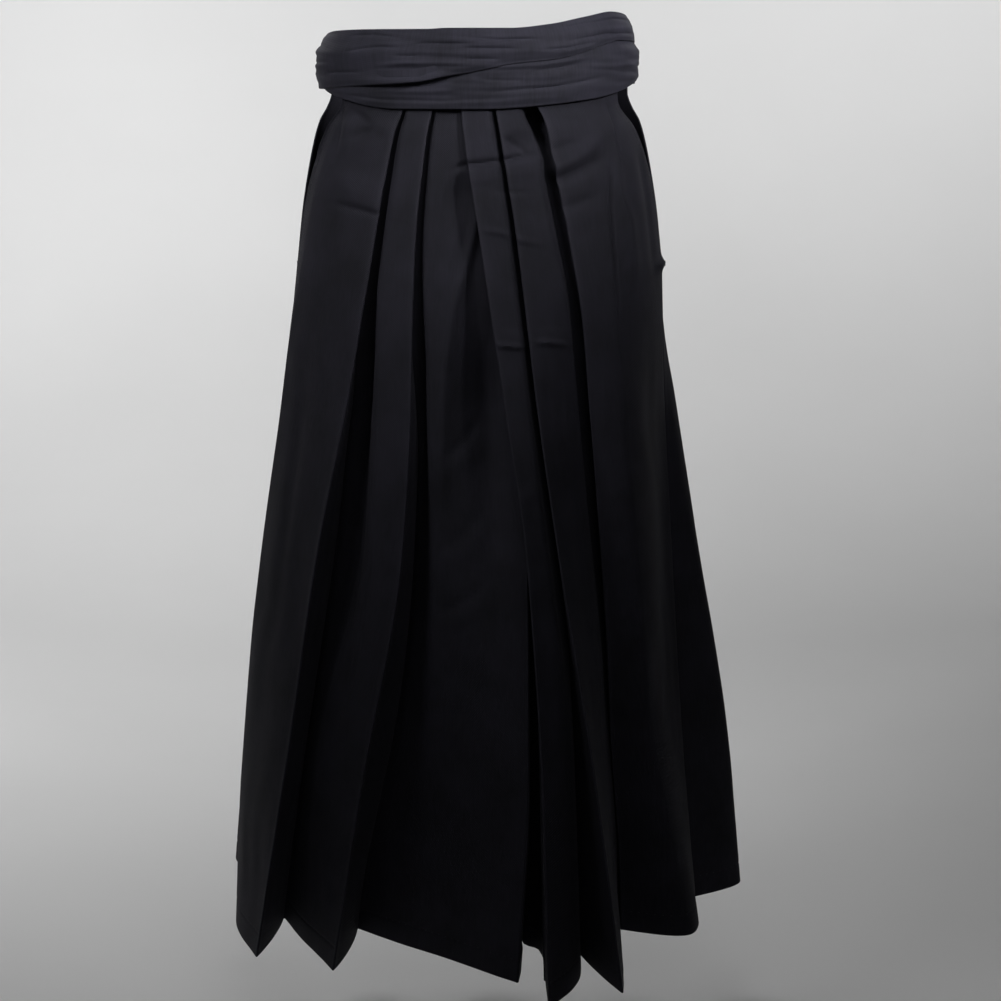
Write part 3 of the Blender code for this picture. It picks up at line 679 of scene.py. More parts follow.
def sew_panel(grid, good):
    """A panel's stitches: blind ones at the hem, a line down the hip opening and its bar tack."""
    face, heights = grid + good * CLOTH / 2, HEIGHTS[-len(grid):]
    hem = int(np.argmin(np.abs(heights - FOLD_LINE)))
    SEWING.append(stitch_row(face[hem], good[hem], *HEM_STITCH))
    if len(grid) < len(HEIGHTS):
        return
    rows = np.flatnonzero((heights < SASH_FOOT) & (heights > SLIT_FOOT))
    run = np.cumsum(np.linalg.norm(np.diff(face[rows], axis=1, prepend=face[rows, :1]), axis=-1), axis=1)
    beside = [[np.interp(OPENING_MARGIN, run[k], face[row, :, axis]) for axis in range(3)]
              for k, row in enumerate(rows)]
    SEWING.append(stitch_row(np.array(beside), good[rows, 2], *OPENING_STITCH))
    ahead = unit(face[HIP_ROW, 3] - face[HIP_ROW, 0])
    for k in range(TACK["rows"]):
        middle = face[HIP_ROW, 0] + np.array((0, 0, TACK["pitch"] * (k - TACK["rows"] / 2)))
        SEWING.append(np.array([[middle - ahead * TACK["behind"], middle + ahead * TACK["ahead"],
                                 good[HIP_ROW, 0]]]))


def hang(node, grid, along, fold_gloss_and_painted_highlight, side, facing):
    """Turns a panel's side edge and hem, and makes it."""
    sign = side * facing
    sew_panel(grid, sign * good_side(grid))
    grid, along = turn_side_in(grid, along, sign * good_side(grid))
    fold_gloss_and_painted_highlight = np.pad(fold_gloss_and_painted_highlight, ((0, 0), (grid.shape[1] - fold_gloss_and_painted_highlight.shape[1], 0)))
    down = -HEIGHTS[-len(grid):] + HEIGHTS[-len(grid)]
    grid, down = turn_hem_up(grid, down, sign * good_side(grid))
    fold_gloss_and_painted_highlight = np.pad(fold_gloss_and_painted_highlight, ((0, len(grid) - len(fold_gloss_and_painted_highlight)), (0, 0)))
    if sign < 0:
        grid, along, fold_gloss_and_painted_highlight = grid[:, ::-1], along[-1] - along[::-1], fold_gloss_and_painted_highlight[:, ::-1]
    piece = cloth_mesh(node + "_cloth", grid, CLOTH, along, down[:, None], fold_gloss_and_painted_highlight)
    dress(piece, "trouser_cloth", TWILL, node)


# Swells of the hanging cloth, as ripple takes them
SWELLS = ((0.23, 0.8, 0.0016), (0.13, 0.55, 0.0010), (0.07, 0.4, 0.0005), (0.037, 0.17, 0.0003))
HEM_LINE_REACH = 0.0016    # half width of that line
SEAM_FLAT = 0.03           # beside a seam, where the cloth lies flat
PUCKER = {1: 0.0036, -1: 0.0}      # how far the tack at each opening's foot lifts the cloth
PUCKER_REACH = (0.018, 0.006)      # along the cloth and down it


def trouser_panel(node, table, side, end_layer, lean, pitch, edges, creases, seed,
                  under=None, facing=-1):
    """One pleated panel, from its sections to the finished piece."""
    points, along, shown, from_fold = pleated_cloth(table, side, end_layer, lean, pitch,
                                                    edges, under)
    heights = HEIGHTS[:, None] + 0 * points[..., 0]
    z = heights + hem_drop(points[..., 1], heights)
    away = outward(points, heights)
    opened = smooth((OPENS_FROM - heights) / (OPENS_FROM - LEVELS["thigh"]))
    sewn = smooth(along / SEAM_FLAT) * smooth((along[-1] - along) / SEAM_FLAT)
    swell = ripple(along, heights, SWELLS, seed) * sewn * (0.25 + 0.75 * opened)
    # The creases fade out where the cloth turns round to the side
    near = smooth((away[..., 1] * facing - 0.15) / 0.3)
    marks = crease_height(points[..., 0], z, creases) * near * np.where(shown, 1.0, 1 - opened)
    # The hem is turned up and blind-stitched, which draws a shallow line round it
    drawn = -HEM_DRAWN * np.exp(-((heights - FOLD_LINE) / HEM_LINE_REACH) ** 2) * shown
    from_tack = (along / PUCKER_REACH[0]) ** 2 + ((heights - SLIT_FOOT) / PUCKER_REACH[1]) ** 2
    marks = marks + PUCKER[side] * np.exp(-from_tack)
    moved = points + away * ((swell + marks) * smooth((SASH_FOOT - heights) / 0.012) + drawn)[..., None]
    grid = np.concatenate((moved, z[..., None]), axis=-1)
    # Mask of the ironed folds: it lowers the roughness there and lightens the colour as a painted
    # highlight
    fold_gloss_and_painted_highlight = np.exp(-(from_fold / FOLD_GLOSS_AND_HIGHLIGHT_REACH) ** 2) * (1 - 0.5 * opened)
    hang(node, grid, along, fold_gloss_and_painted_highlight, side, facing)


C_EDGE = tracks_of(FRONT_LEFT, 1, 1.0)[7][0]
trouser_panel("front_right", FRONT_RIGHT, -1, 0.0, 1.3, 0.0055, FRONT_RIGHT_EDGES,
              FRONT_CREASES + CENTRE_CREASES, 3, under=(C_EDGE, UNDER_C))
trouser_panel("front_left", FRONT_LEFT, 1, 1.0, 2.2, 0.0060, FRONT_LEFT_EDGES, FRONT_CREASES, 5)

# ==== Back panels ======================================================================
# Each back has one pressed pleat beside the centre seam. The rest of its width hangs in
# soft rounded folds from the stiff board at the small of the back.
BACK_RIGHT = (
    ("side",  0,  (-158, 15),   (-186, -10),  (-205, 30),   (-224, 62),   (-246, 112),  (-262, 150)),
    ("bend",  0,  (-148, 41),   (-178, 50),   (-203, 80),   (-226, 108),  (-262, 165),  (-288, 218)),
    ("bend",  0,  (-131, 63),   (-157, 80),   (-175, 98),   (-190, 115),  (-208, 145),  (-222, 172)),
    ("bend",  0,  (-107, 82),   (-128, 103),  (-148, 130),  (-163, 158),  (-182, 202),  (-194, 240)),
    ("bend",  0,  (-75, 97),    (-90, 122),   (-102, 135),  (-110, 146),  (-120, 160),  (-124, 172)),
    ("edge",  -3, (-10, 110),   (-16, 140),   (-26, 160),   (-36, 180),   (-48, 214),   (-58, 242)),
    ("tuck",  0,  (-36, 106),   (-44, 136),   (-56, 142),   (-64, 150),   (-76, 166),   (-86, 176)),
    ("end",   0,  (0, 110),     (0, 140),     (0, 157),     (0, 172),     (-3, 184),    (-6, 190)),
)
BACK_LEFT = (
    ("side",  0,  (158, 15),    (187, -10),   (196, 16),    (206, 37),    (222, 68),    (236, 96)),
    ("bend",  0,  (149, 41),    (181, 40),    (208, 52),    (234, 72),    (273, 108),   (297, 143)),
    ("bend",  0,  (131, 63),    (159, 76),    (182, 94),    (200, 112),   (226, 146),   (246, 172)),
    ("bend",  0,  (106, 83),    (127, 105),   (150, 132),   (168, 160),   (196, 204),   (214, 238)),
    ("bend",  0,  (75, 97),     (91, 121),    (104, 134),   (114, 146),   (126, 162),   (134, 172)),
    ("edge",  -3, (12, 110),    (20, 140),    (32, 160),    (44, 180),    (60, 212),    (74, 238)),
    ("tuck",  0,  (38, 106),    (46, 136),    (58, 142),    (70, 150),    (86, 164),    (98, 174)),
    ("end",   0,  (0, 110),     (0, 140),     (0, 157),     (0, 172),     (12, 183),    (22, 188)),
)
BACK_EDGES = (
    ((1.5, 1.5, 1.5, 2.0, 2.0, 0.0),   (6, 8, 9, 14, 16, 6),       (6.0, 7.0, 8.0, 11.0, 16.0, 16.0)),
)
BACK_CREASES = (
    (-1.4,   2.8,   1.1,   8.4,  ((-140, -118), (-112, -108), (-84, -111), (-60, -120))),
    (-1.5,   3.0,   1.2,   9.0,  ((-20, -152), (10, -147), (44, -150))),
    (1.5,    3.2,   -0.9,  9.6,  ((26, -246), (54, -252), (82, -262))),
    (1.2,    2.6,   -0.7,  7.8,  ((-44, -305), (-74, -312))),
    (-1.4,   3.0,   1.3,   9.0,  ((72, -98), (100, -84), (134, -66))),
    (-1.3,   3.4,   1.2,   10.2, ((-70, -470), (-48, -452), (-30, -428))),
    (1.2,    3.4,   -0.8,  10.2, ((96, -395), (122, -384), (150, -362))),
    (2.0,    8.0,   0.0,   8,    ((-122, -62), (-98, -70), (-76, -68))),
)
trouser_panel("back_right", BACK_RIGHT, -1, 0.0, 1.0, 0.007, BACK_EDGES, BACK_CREASES, 11, facing=1)
trouser_panel("back_left", BACK_LEFT, 1, 0.0, 1.0, 0.007, BACK_EDGES, BACK_CREASES, 13, facing=1)

# ==== Inner-leg panels =================================================================
# Below the crotch each leg is closed by a plain panel of the same twill, sewn to the
# front's middle edge and to the back's.
INNER_LEG_RIGHT = (
    # crotch       calf          hem
    ((49, -138),   (50, -138),   (39, -129)),
    ((40, -86),    (50, -80),    (44, -33)),
    ((34, -48),    (42, -30),    (36, -4)),
    ((17, 62),     (22, 70),     (20, 78)),
    ((0, 172),     (-3, 184),    (-6, 190)),
)
INNER_LEG_LEFT = (
    ((57, -136),   (64, -137),   (69, -125)),
    ((43, -86),    (62, -86),    (66, -45)),
    ((37, -48),    (47, -28),    (50, -30)),
    ((20, 62),     (28, 70),     (34, 78)),
    ((0, 172),     (12, 183),    (22, 188)),
)
TURN_GAP = 0.0011          # from the seam line to the turned edge, at a seam round a corner
INNER_PITCH = 0.008
INNER_SEAM_FLAT = 0.04     # beside a seam, where the inner leg lies flat
CROTCH_SEAM = 0.05         # below the crotch, where the legs part
CROTCH_EASE = 0.015        # along from a panel's edge, where it comes up to the other leg
# Between the two legs of the tables above: y, and the gap there
CROTCH_GAPS = ((-0.138, -0.086, 0.062, 0.172), (0.008, 0.003, 0.003, 0.0))


def inner_leg(node, table, side, seed):
    """A leg's inner panel, in soft bends from the crotch down."""
    heights = HEIGHTS[HEIGHTS <= CROTCH]
    levels = [-LEVELS[name] for name in ("crotch", "calf", "hem")]
    spots = [np.stack([pchip(levels, [place[axis] / 1000 for place in row], -heights)
                       for axis in (0, 1)], axis=-1) for row in table]
    for first, inner in ((0, 1), (-1, -2)):
        spots[first] = spots[first] + unit(spots[inner] - spots[first]) * TURN_GAP
    columns = []
    for k in range(len(spots) - 1):
        steps = round(np.linalg.norm(spots[k + 1] - spots[k], axis=-1)[-1] / INNER_PITCH)
        columns += [through(spots, k, step / steps) for step in range(steps + (k == len(spots) - 2))]
    points = np.stack(columns, axis=1)
    along = np.concatenate(([0.0], np.cumsum(np.linalg.norm(np.diff(points[-1], axis=0), axis=-1))))
    from_end, below = np.minimum(along, along[-1] - along), CROTCH - heights[:, None]
    points[..., 0] += (ripple(along, heights[:, None], SWELLS, seed)
                       * smooth(from_end / INNER_SEAM_FLAT) * smooth(below / 0.1))
    # The two legs are sewn together along the crotch, and part below it
    apart = np.interp(points[..., 1], *CROTCH_GAPS) / 2 - CLOTH * 0.6
    points[..., 0] += side * apart * smooth(from_end / CROTCH_EASE) * smooth(1 - below / CROTCH_SEAM)
    z = heights[:, None] + hem_drop(points[..., 1], heights[:, None] + 0 * points[..., 0])
    grid = np.concatenate((points, z[..., None]), axis=-1)
    hang(node, grid, along, np.zeros(grid.shape[:2]), side, -1)


inner_leg("inner_leg_right", INNER_LEG_RIGHT, 1, 17)
inner_leg("inner_leg_left", INNER_LEG_LEFT, -1, 19)

# ==== Waist bands, board and ties ======================================================
# The pleats are caught in a flat band in front and under a stiff trapezoid board behind.
# A tie sewn to each goes round the waist. All of it is the trousers' own twill, doubled.
FRONT_BAND = dict(wall=0.0016, out=0.0058, start=-61.0, stop=62.0, low=-0.030, high=0.010)
BACK_BOARD = dict(wall=0.0030, out=0.0065, start=134.0, stop=226.0, low=-0.030, high=0.026)
FRONT_TIE = dict(wall=0.0014, out=-0.0020, start=66.0, stop=294.0, low=-0.030, high=0.004)
BACK_TIE = dict(wall=0.0014, out=0.0081, start=-132.5, stop=132.5, low=-0.030, high=-0.002)
DEGREE = 0.0023            # a degree round the waist, in metres of cloth
BAND_STEP = 1.6            # degrees from one line of points to the next
BAND_FOLDED, BAND_CLOTH = 0.8, 0.35        # a band's fold and its cloth, as shares of its wall
LIP_STEPS = 4              # rows of points on the cloth turned in behind
STRIP_CLOTH = 0.0008       # thickness of the cloth of the board and the sash
EDGE_TURNS = np.radians((15, 50, 90, 130, 165))


def wound(bearings, heights, out):
    """Points at bearings in degrees round the waist, at heights and distances out."""
    flat = on_figure(np.radians(bearings), out, np.maximum(heights, 0.0), sagging=False)
    return np.concatenate((flat, heights[..., None]), axis=-1)


def folded_strip(bearings, low, high, out, thick, lip, rows, relief=None):
    """A strip folded over at its top and bottom, whose edges turn in behind by a lip.

    low, high and out are given for each bearing. relief(heights, share) moves the outer
    face, share being 0 at the top and 1 at the foot. Gives the grid, its length along and
    its width down.
    """
    radius, low, high = thick / 2, low + 0 * bearings, high + 0 * bearings
    across, depth = [], []
    for k in range(LIP_STEPS):
        across.append(("top", -lip * (1 - k / LIP_STEPS)))
        depth.append(-1.0)
    for turn in EDGE_TURNS:
        across.append(("top", radius * math.sin(turn)))
        depth.append(-math.cos(turn))
    for k in range(rows + 1):
        across.append((k / rows, 0.0))
        depth.append(1.0)
    for turn in EDGE_TURNS[::-1]:
        across.append(("low", -radius * math.sin(turn)))
        depth.append(-math.cos(turn))
    for k in range(LIP_STEPS):
        across.append(("low", lip * (k + 1) / LIP_STEPS))
        depth.append(-1.0)
    heights, outs = [], []
    for (where, step), side in zip(across, depth):
        share = {"top": 0.0, "low": 1.0}.get(where, where)
        height = high - radius + (low - high + thick) * share
        lifted = relief(height, share) if relief else 0.0
        heights.append(height + step)
        outs.append(out + radius * side + lifted + 0 * bearings)
    heights, outs = np.array(heights), np.array(outs)
    grid = wound(bearings + 0 * heights, heights, outs)
    middle = grid[len(grid) // 2]
    along = np.concatenate(([0.0], np.cumsum(np.linalg.norm(np.diff(middle, axis=0), axis=-1))))
    column = grid[:, len(bearings) // 2]
    down = np.concatenate(([0.0], np.cumsum(np.linalg.norm(np.diff(column, axis=0), axis=-1))))
    return grid, along, down


def waist_piece(node, grid, along, down, wall, slot, material):
    """Makes a strip's cloth."""
    piece = cloth_mesh(node + "_cloth", grid, wall, along, down[:, None])
    dress(piece, slot, material, node)


def bearings_of(spec):
    """The bearings of a band's lines of points, in degrees."""
    return np.linspace(spec["start"], spec["stop"],
                       round((spec["stop"] - spec["start"]) / BAND_STEP) + 1)


for node, spec, lip, rows in (("front_band", FRONT_BAND, 0.030, 10),
                              ("front_tie", FRONT_TIE, 0.024, 8),
                              ("back_tie", BACK_TIE, 0.020, 8)):
    grid, along, down = folded_strip(bearings_of(spec), spec["low"], spec["high"], spec["out"],
                                     spec["wall"] * BAND_FOLDED, lip, rows)
    waist_piece(node, grid, along, down, spec["wall"] * BAND_CLOTH, "trouser_cloth", TWILL)

BOARD_LIP = 0.050          # of the cloth turned in behind, at its top and its foot
BOARD_MARGIN = 0.003       # from the board's edge to the line of stitches round it
BOARD_SWELL = (0.0009, 0.006)      # height inside that line, and how soon it is reached
BOARD_DRAWN = (0.0006, 0.0012)     # depth that the stitches draw in, and half its width
BOARD_CORNER = (0.004, 1.2)        # drop of the top edge at its corners, fading over degrees
BAND_STITCH = (0.0042, 0.0030)
SIDE_POINTS = 40           # along each side of the border
bearings = bearings_of(BACK_BOARD)
from_end = np.minimum(bearings - bearings[0], bearings[-1] - bearings)


def board_relief(heights, share):
    """The board is stiffened and quilted: its face swells inside its stitched border."""
    width = BACK_BOARD["high"] - BACK_BOARD["low"]
    inside = np.minimum(from_end * DEGREE, np.minimum(share, 1 - share) * width) - BOARD_MARGIN
    return (BOARD_SWELL[0] * smooth(inside / BOARD_SWELL[1])
            - BOARD_DRAWN[0] * np.exp(-(inside / BOARD_DRAWN[1]) ** 2))


def sewn_frame(start, stop, low, high, out):
    """Stitches round a four-sided border on a waist piece."""
    corners = [(start, high), (stop, high), (stop, low), (start, low), (start, high)]
    rows = []
    for a, b in zip(corners, corners[1:]):
        share = np.linspace(0, 1, SIDE_POINTS)
        places = wound(a[0] + (b[0] - a[0]) * share, a[1] + (b[1] - a[1]) * share, out)
        away = outward(places[:, :2], places[:, 2])
        normals = np.concatenate((away, np.zeros((SIDE_POINTS, 1))), axis=1)
        rows.append(stitch_row(places, normals, *BAND_STITCH))
    return np.concatenate(rows)


corner = BOARD_CORNER[0] * np.exp(-from_end / BOARD_CORNER[1])
grid, along, down = folded_strip(bearings, BACK_BOARD["low"], BACK_BOARD["high"] - corner,
                                 BACK_BOARD["out"], BACK_BOARD["wall"], BOARD_LIP, 26, board_relief)
waist_piece("back_board", grid, along, down, STRIP_CLOTH, "trouser_cloth", TWILL)
inset = BOARD_MARGIN / DEGREE
SEWING.append(sewn_frame(BACK_BOARD["start"] + inset, BACK_BOARD["stop"] - inset,
                         BACK_BOARD["low"] + BOARD_MARGIN,
                         BACK_BOARD["high"] - BOARD_MARGIN - BOARD_CORNER[0] / 2,
                         BACK_BOARD["out"] + BACK_BOARD["wall"] / 2))

# ==== Sash =============================================================================
# A long strip of soft charcoal cloth, folded lengthwise and wound twice round the waist.
# Its folds run nearly level and slip over each other; the outer turn rises to the left.
SASH_LOWER = (
    # bearing   low    high, in degrees and millimetres
    (-180,      -45,   8),
    (-90,       -32,   14),
    (-60,       -44,   18),
    (-30,       -54,   18),
    (0,         -54,   18),
    (45,        -44,   28),
    (90,        -27,   28),
    (180,       -45,   8),
)
SASH_UPPER = (
    (-180,      -40,   12),
    (-90,       -35,   20),
    (-68,       -34,   23),
    (-45,       -31,   24),
    (-28,       -29,   24),
    (-19,       -27,   24),
    (-11,       -22,   25),
    (-3,        -18,   25),
    (11,        -10,   25),
    (27,        -5,    29),
    (43,        5,     36),
    (63,        14,    42),
    (90,        12,    38),
    (130,       -20,   25),
    (180,       -40,   12),
)
SASH_LOWER_OUT = 0.0103
SASH_UPPER_OUT = 0.0141
SASH_WALL = 0.0020
SASH_PLUMP = 0.0012        # how far the middle of a turn of the sash swells out
SASH_LAP = 24.0            # degrees by which the outer turn laps over its own start
SASH_LAP_GAP = 0.0006      # between the turn and its start under the lap
SASH_START = -166.0
SASH_STEP = (9.0, 7.0)     # degrees before its start that it steps out, and over how many
SASH_CURL = 0.0012         # the edges of a turn roll in by this
SASH_ROLL = 0.0032         # over this much of the width
SASH_LIP = 0.012           # of the cloth turned in behind, at both edges
SASH_SWELLS = ((0.031, 0.30, 0.0005), (0.013, 0.16, 0.0004), (0.007, 0.11, 0.0002))
# The outer turn's lower edge stands off the inner turn round this bearing, in degrees
GAPE_AT, GAPE_REACH, GAPE_HEIGHT = -23.0, 15.0, 0.006
# Folds along the two turns, as the creases of the fronts, then (bearing in degrees,
# height in millimetres) along the line
LOWER_FOLDS = (
    (-3.2,   3.0,   0.9,   7,    ((-52, -34), (-30, -31), (-21, -29), (-16, -28), (-10, -23), (-2, -19))),
    (1.7,    2.0,   0.0,   8,    ((2, -12), (8, -13), (21, -11), (28, -8), (44, -2))),
    (-1.3,   1.5,   0.6,   5,    ((18, -17), (28, -14), (37, -9))),
    (1.5,    2.3,   0.0,   8,    ((38, -12), (54, -12), (78, -11))),
    (-1.2,   1.5,   0.6,   5,    ((0, -25), (9, -26), (16, -25))),
    (-1.5,   1.6,   1.0,   6,    ((4, -37), (17, -34), (27, -32), (37, -28), (50, -22))),
    (1.3,    2.2,   0.0,   8,    ((-34, -37), (-18, -37), (-6, -35))),
    (-1.1,   1.5,   0.6,   5,    ((-58, -39), (-36, -45), (-12, -46), (8, -44))),
    (-1.0,   1.5,   0.5,   5,    ((50, -16), (64, -18), (80, -17))),
    (-0.9,   1.8,   0.5,   5,    ((70, -8), (92, -14), (118, -20), (140, -24))),
    (0.8,    2.4,   0.0,   8,    ((78, -20), (104, -26), (134, -32))),
    (-1.0,   1.8,   0.5,   5,    ((-150, -38), (-120, -37), (-84, -38))),
)
UPPER_FOLDS = (
    (-1.3,   1.4,   0.7,   5,    ((-54, 18), (-41, 19), (-28, 16))),
    (-1.3,   1.4,   0.6,   5,    ((-53, 2), (-44, 5), (-36, 7), (-25, 6))),
    (-1.3,   1.4,   0.6,   5,    ((-24, 7), (-20, 10), (-13, 10), (-3, 10))),
    (-1.1,   1.3,   0.5,   4,    ((-29, -2), (-20, -2))),
    (-1.4,   1.6,   0.8,   5,    ((-6, 16), (7, 14), (22, 15))),
    (-1.0,   1.6,   0.5,   5,    ((-6, 6), (14, 5))),
    (-1.0,   1.4,   0.5,   4,    ((-5, -5), (7, -5))),
    (2.0,    2.1,   0.0,   8,    ((-35, -11), (-25, -9), (-14, -9), (1, -10))),
    (1.1,    1.8,   0.0,   8,    ((-27, -18), (-15, -18))),
    (-1.2,   1.5,   0.6,   5,    ((-68, -19), (-51, -18), (-43, -18))),
    (-1.2,   1.5,   0.9,   5,    ((21, 4), (31, 6), (45, 12))),
    (1.2,    2.4,   0.6,   6,    ((36, 22), (50, 25), (70, 27), (88, 25))),
    (-1.3,   1.6,   0.8,   5,    ((32, 13), (52, 20), (84, 21))),
    (-1.0,   1.5,   0.6,   5,    ((26, 24), (42, 30), (60, 35), (80, 34))),
    (-1.1,   1.6,   0.7,   5,    ((-140, 4), (-112, 8), (-72, 9))),
    (-1.0,   1.8,   0.5,   5,    ((-150, -12), (-122, -9), (-96, -10), (-66, -8))),
    (0.9,    2.6,   0.0,   8,    ((-130, -22), (-104, -20), (-78, -22))),
    (-1.1,   1.6,   0.6,   5,    ((92, 22), (118, 13), (146, 2))),
    (-1.0,   1.8,   0.5,   5,    ((104, 4), (134, -8), (168, -14))),
)
SASH_STEP_DEGREES = 0.9


def sash_edge(table, column, wrapped):
    """Heights of a turn's edge at bearings: column 1 is the lower edge, 2 the upper."""
    return pchip([row[0] for row in table], [row[column] / 1000 for row in table], wrapped)


def sash_turn(node, table, base, start, stop, folds, seed, lap, gape):
    """One turn of the sash. lap is 1 where it laps over its own start, and gape in metres."""
    bearings = np.linspace(start, stop, round((stop - start) / SASH_STEP_DEGREES) + 1)
    wrapped = (bearings + 180.0) % 360.0 - 180.0
    low, high = sash_edge(table, 1, wrapped), sash_edge(table, 2, wrapped)
    past_start = bearings - start - 360.0
    out = base + (SASH_WALL + SASH_LAP_GAP) * smooth((past_start + SASH_STEP[0]) / SASH_STEP[1]) * lap

    def relief(heights, share):
        from_top, from_low = share * (high - low), (1 - share) * (high - low)
        rolled = np.exp(-(from_top / SASH_ROLL) ** 2) + np.exp(-(from_low / SASH_ROLL) ** 2)
        lines = [(*sizes, [(degrees * DEGREE * 1000, height) for degrees, height in line])
                 for *sizes, line in folds]
        soft = ripple(heights, wrapped * DEGREE, SASH_SWELLS, seed)
        stands = gape * np.exp(-((wrapped - GAPE_AT) / GAPE_REACH) ** 2
                               - (from_low / GAPE_HEIGHT) ** 2)
        return (SASH_PLUMP * np.sin(math.pi * share) - SASH_CURL * rolled + soft + stands
                + crease_height(wrapped * DEGREE, heights + 0 * wrapped, lines))

    grid, along, down = folded_strip(bearings, low, high, out, SASH_WALL, SASH_LIP, 52, relief)
    waist_piece(node, grid, along, down, STRIP_CLOTH, "sash_cloth", SASH_CLOTH)


# Rayon and cotton with a soft crinkled hand: lighter than the trousers, the threads
# running along the strip. The real weave is 0.5 mm; it is drawn at 1.3 mm so that it shows.
SASH_CLOTH = woven_cloth("crinkled_rayon_cotton", "#1a1a21", "#2c2b36", twill_mm=1.3,
                         slant=math.radians(84), roughness=0.80, sheen=0.06, sheen_tint="#b0aebc",
                         relief=0.09)
sash_turn("sash_lower", SASH_LOWER, SASH_LOWER_OUT, -179.0, 179.0, LOWER_FOLDS, 23, 0, 0.0)
sash_turn("sash_upper", SASH_UPPER, SASH_UPPER_OUT, SASH_START, SASH_START + 360.0 + SASH_LAP,
          UPPER_FOLDS, 29, 1, 0.0075)

# ==== Stitching ========================================================================
# Black spun polyester, two-ply: blind stitches at the hem, a line down each hip opening
# with a bar tack at its foot, and the border of the back board.
THREAD = 0.00028           # radius; the real one is 0.12 mm and wouldn't show
# Along a stitch: share of its length, size, and rise off the cloth, both in radii
THREAD_RINGS = ((0.0, 0.35, -0.4), (0.12, 0.9, 0.4), (0.5, 1.0, 0.9), (0.88, 0.9, 0.4),
                (1.0, 0.35, -0.4))
THREAD_SIDES = 6
THREAD_PLY = 0.0007        # from one turn of the ply to the next


def thread_material():
    """Spun thread: the ply's slant shows as fine light and dark bands across each stitch, painted into the
    colour as the light and shade of the twist and drawn in the bump as well.
    """
    thread = new_material("spun_polyester_thread")
    place = add(thread, "ShaderNodeTexCoord").outputs["Object"]
    ply = add(thread, "ShaderNodeTexWave", {"Scale": math.pi / 10 / THREAD_PLY, "Distortion": 2.0,
              "Detail": 1.0}, Vector=place)
    # Painted light and shade: the ply bands lighten and darken the colour of the one black thread
    tone = add(thread, "ShaderNodeMix", {"data_type": "RGBA"})
    tone.inputs[6].default_value = linear("#0d0d11")
    tone.inputs[7].default_value = linear("#24232b")
    thread.node_tree.links.new(ply.outputs["Fac"], tone.inputs[0])
    bump = add(thread, "ShaderNodeBump", {"Strength": 0.4, "Distance": 0.0002},
               Height=ply.outputs["Fac"])
    shader = add(thread, "ShaderNodeBsdfPrincipled", {"Roughness": 0.6, "IOR": 1.5},
                 Base_Color=tone.outputs[2], Normal=bump.outputs[0])
    add(thread, "ShaderNodeOutputMaterial", {}, Surface=shader.outputs[0])
    return thread


stitches = np.concatenate(SEWING)
start, stop, raised = stitches[:, 0], stitches[:, 1], stitches[:, 2]
aside = unit(np.cross(unit(stop - start), raised))
rings = []
for share, size, rise in THREAD_RINGS:
    centre = start + (stop - start) * share + raised * THREAD * rise
    for turn in np.arange(THREAD_SIDES) * 2 * math.pi / THREAD_SIDES:
        rings.append(centre + THREAD * size * (aside * math.cos(turn) + raised * math.sin(turn)))
verts = np.stack(rings, axis=1)
around = [(k, (k + 1) % THREAD_SIDES) for k in range(THREAD_SIDES)]
faces = [(ring + a, ring + b, ring + b + THREAD_SIDES, ring + a + THREAD_SIDES)
         for ring in range(0, THREAD_SIDES * (len(THREAD_RINGS) - 1), THREAD_SIDES) for a, b in around]
faces += [tuple(range(THREAD_SIDES))[::-1], tuple(range(verts.shape[1] - THREAD_SIDES, verts.shape[1]))]
mesh = bpy.data.meshes.new("stitching")
mesh.from_pydata(verts.reshape(-1, 3), [], [tuple(verts.shape[1] * k + corner for corner in face)
                                            for k in range(len(verts)) for face in faces])
mesh.shade_smooth()
stitching = bpy.data.objects.new("stitching", mesh)
bpy.context.scene.collection.objects.link(stitching)
dress(stitching, "trouser_cloth", thread_material())

# ==== Camera, floor and light ==========================================================
# A pale matt sweep behind, and dark felt walls on the other sides. The fronts are lit from
# both sides and from above, which leaves the grooves beside the pleats dark.
FLOOR_Z = -1.08
SWEEP = dict(front=-7.0, bend=2.2, radius=2.8, steps=24, top=4.5, half=8.0)
STUDIO = dict(far=5.2, top=4.5)
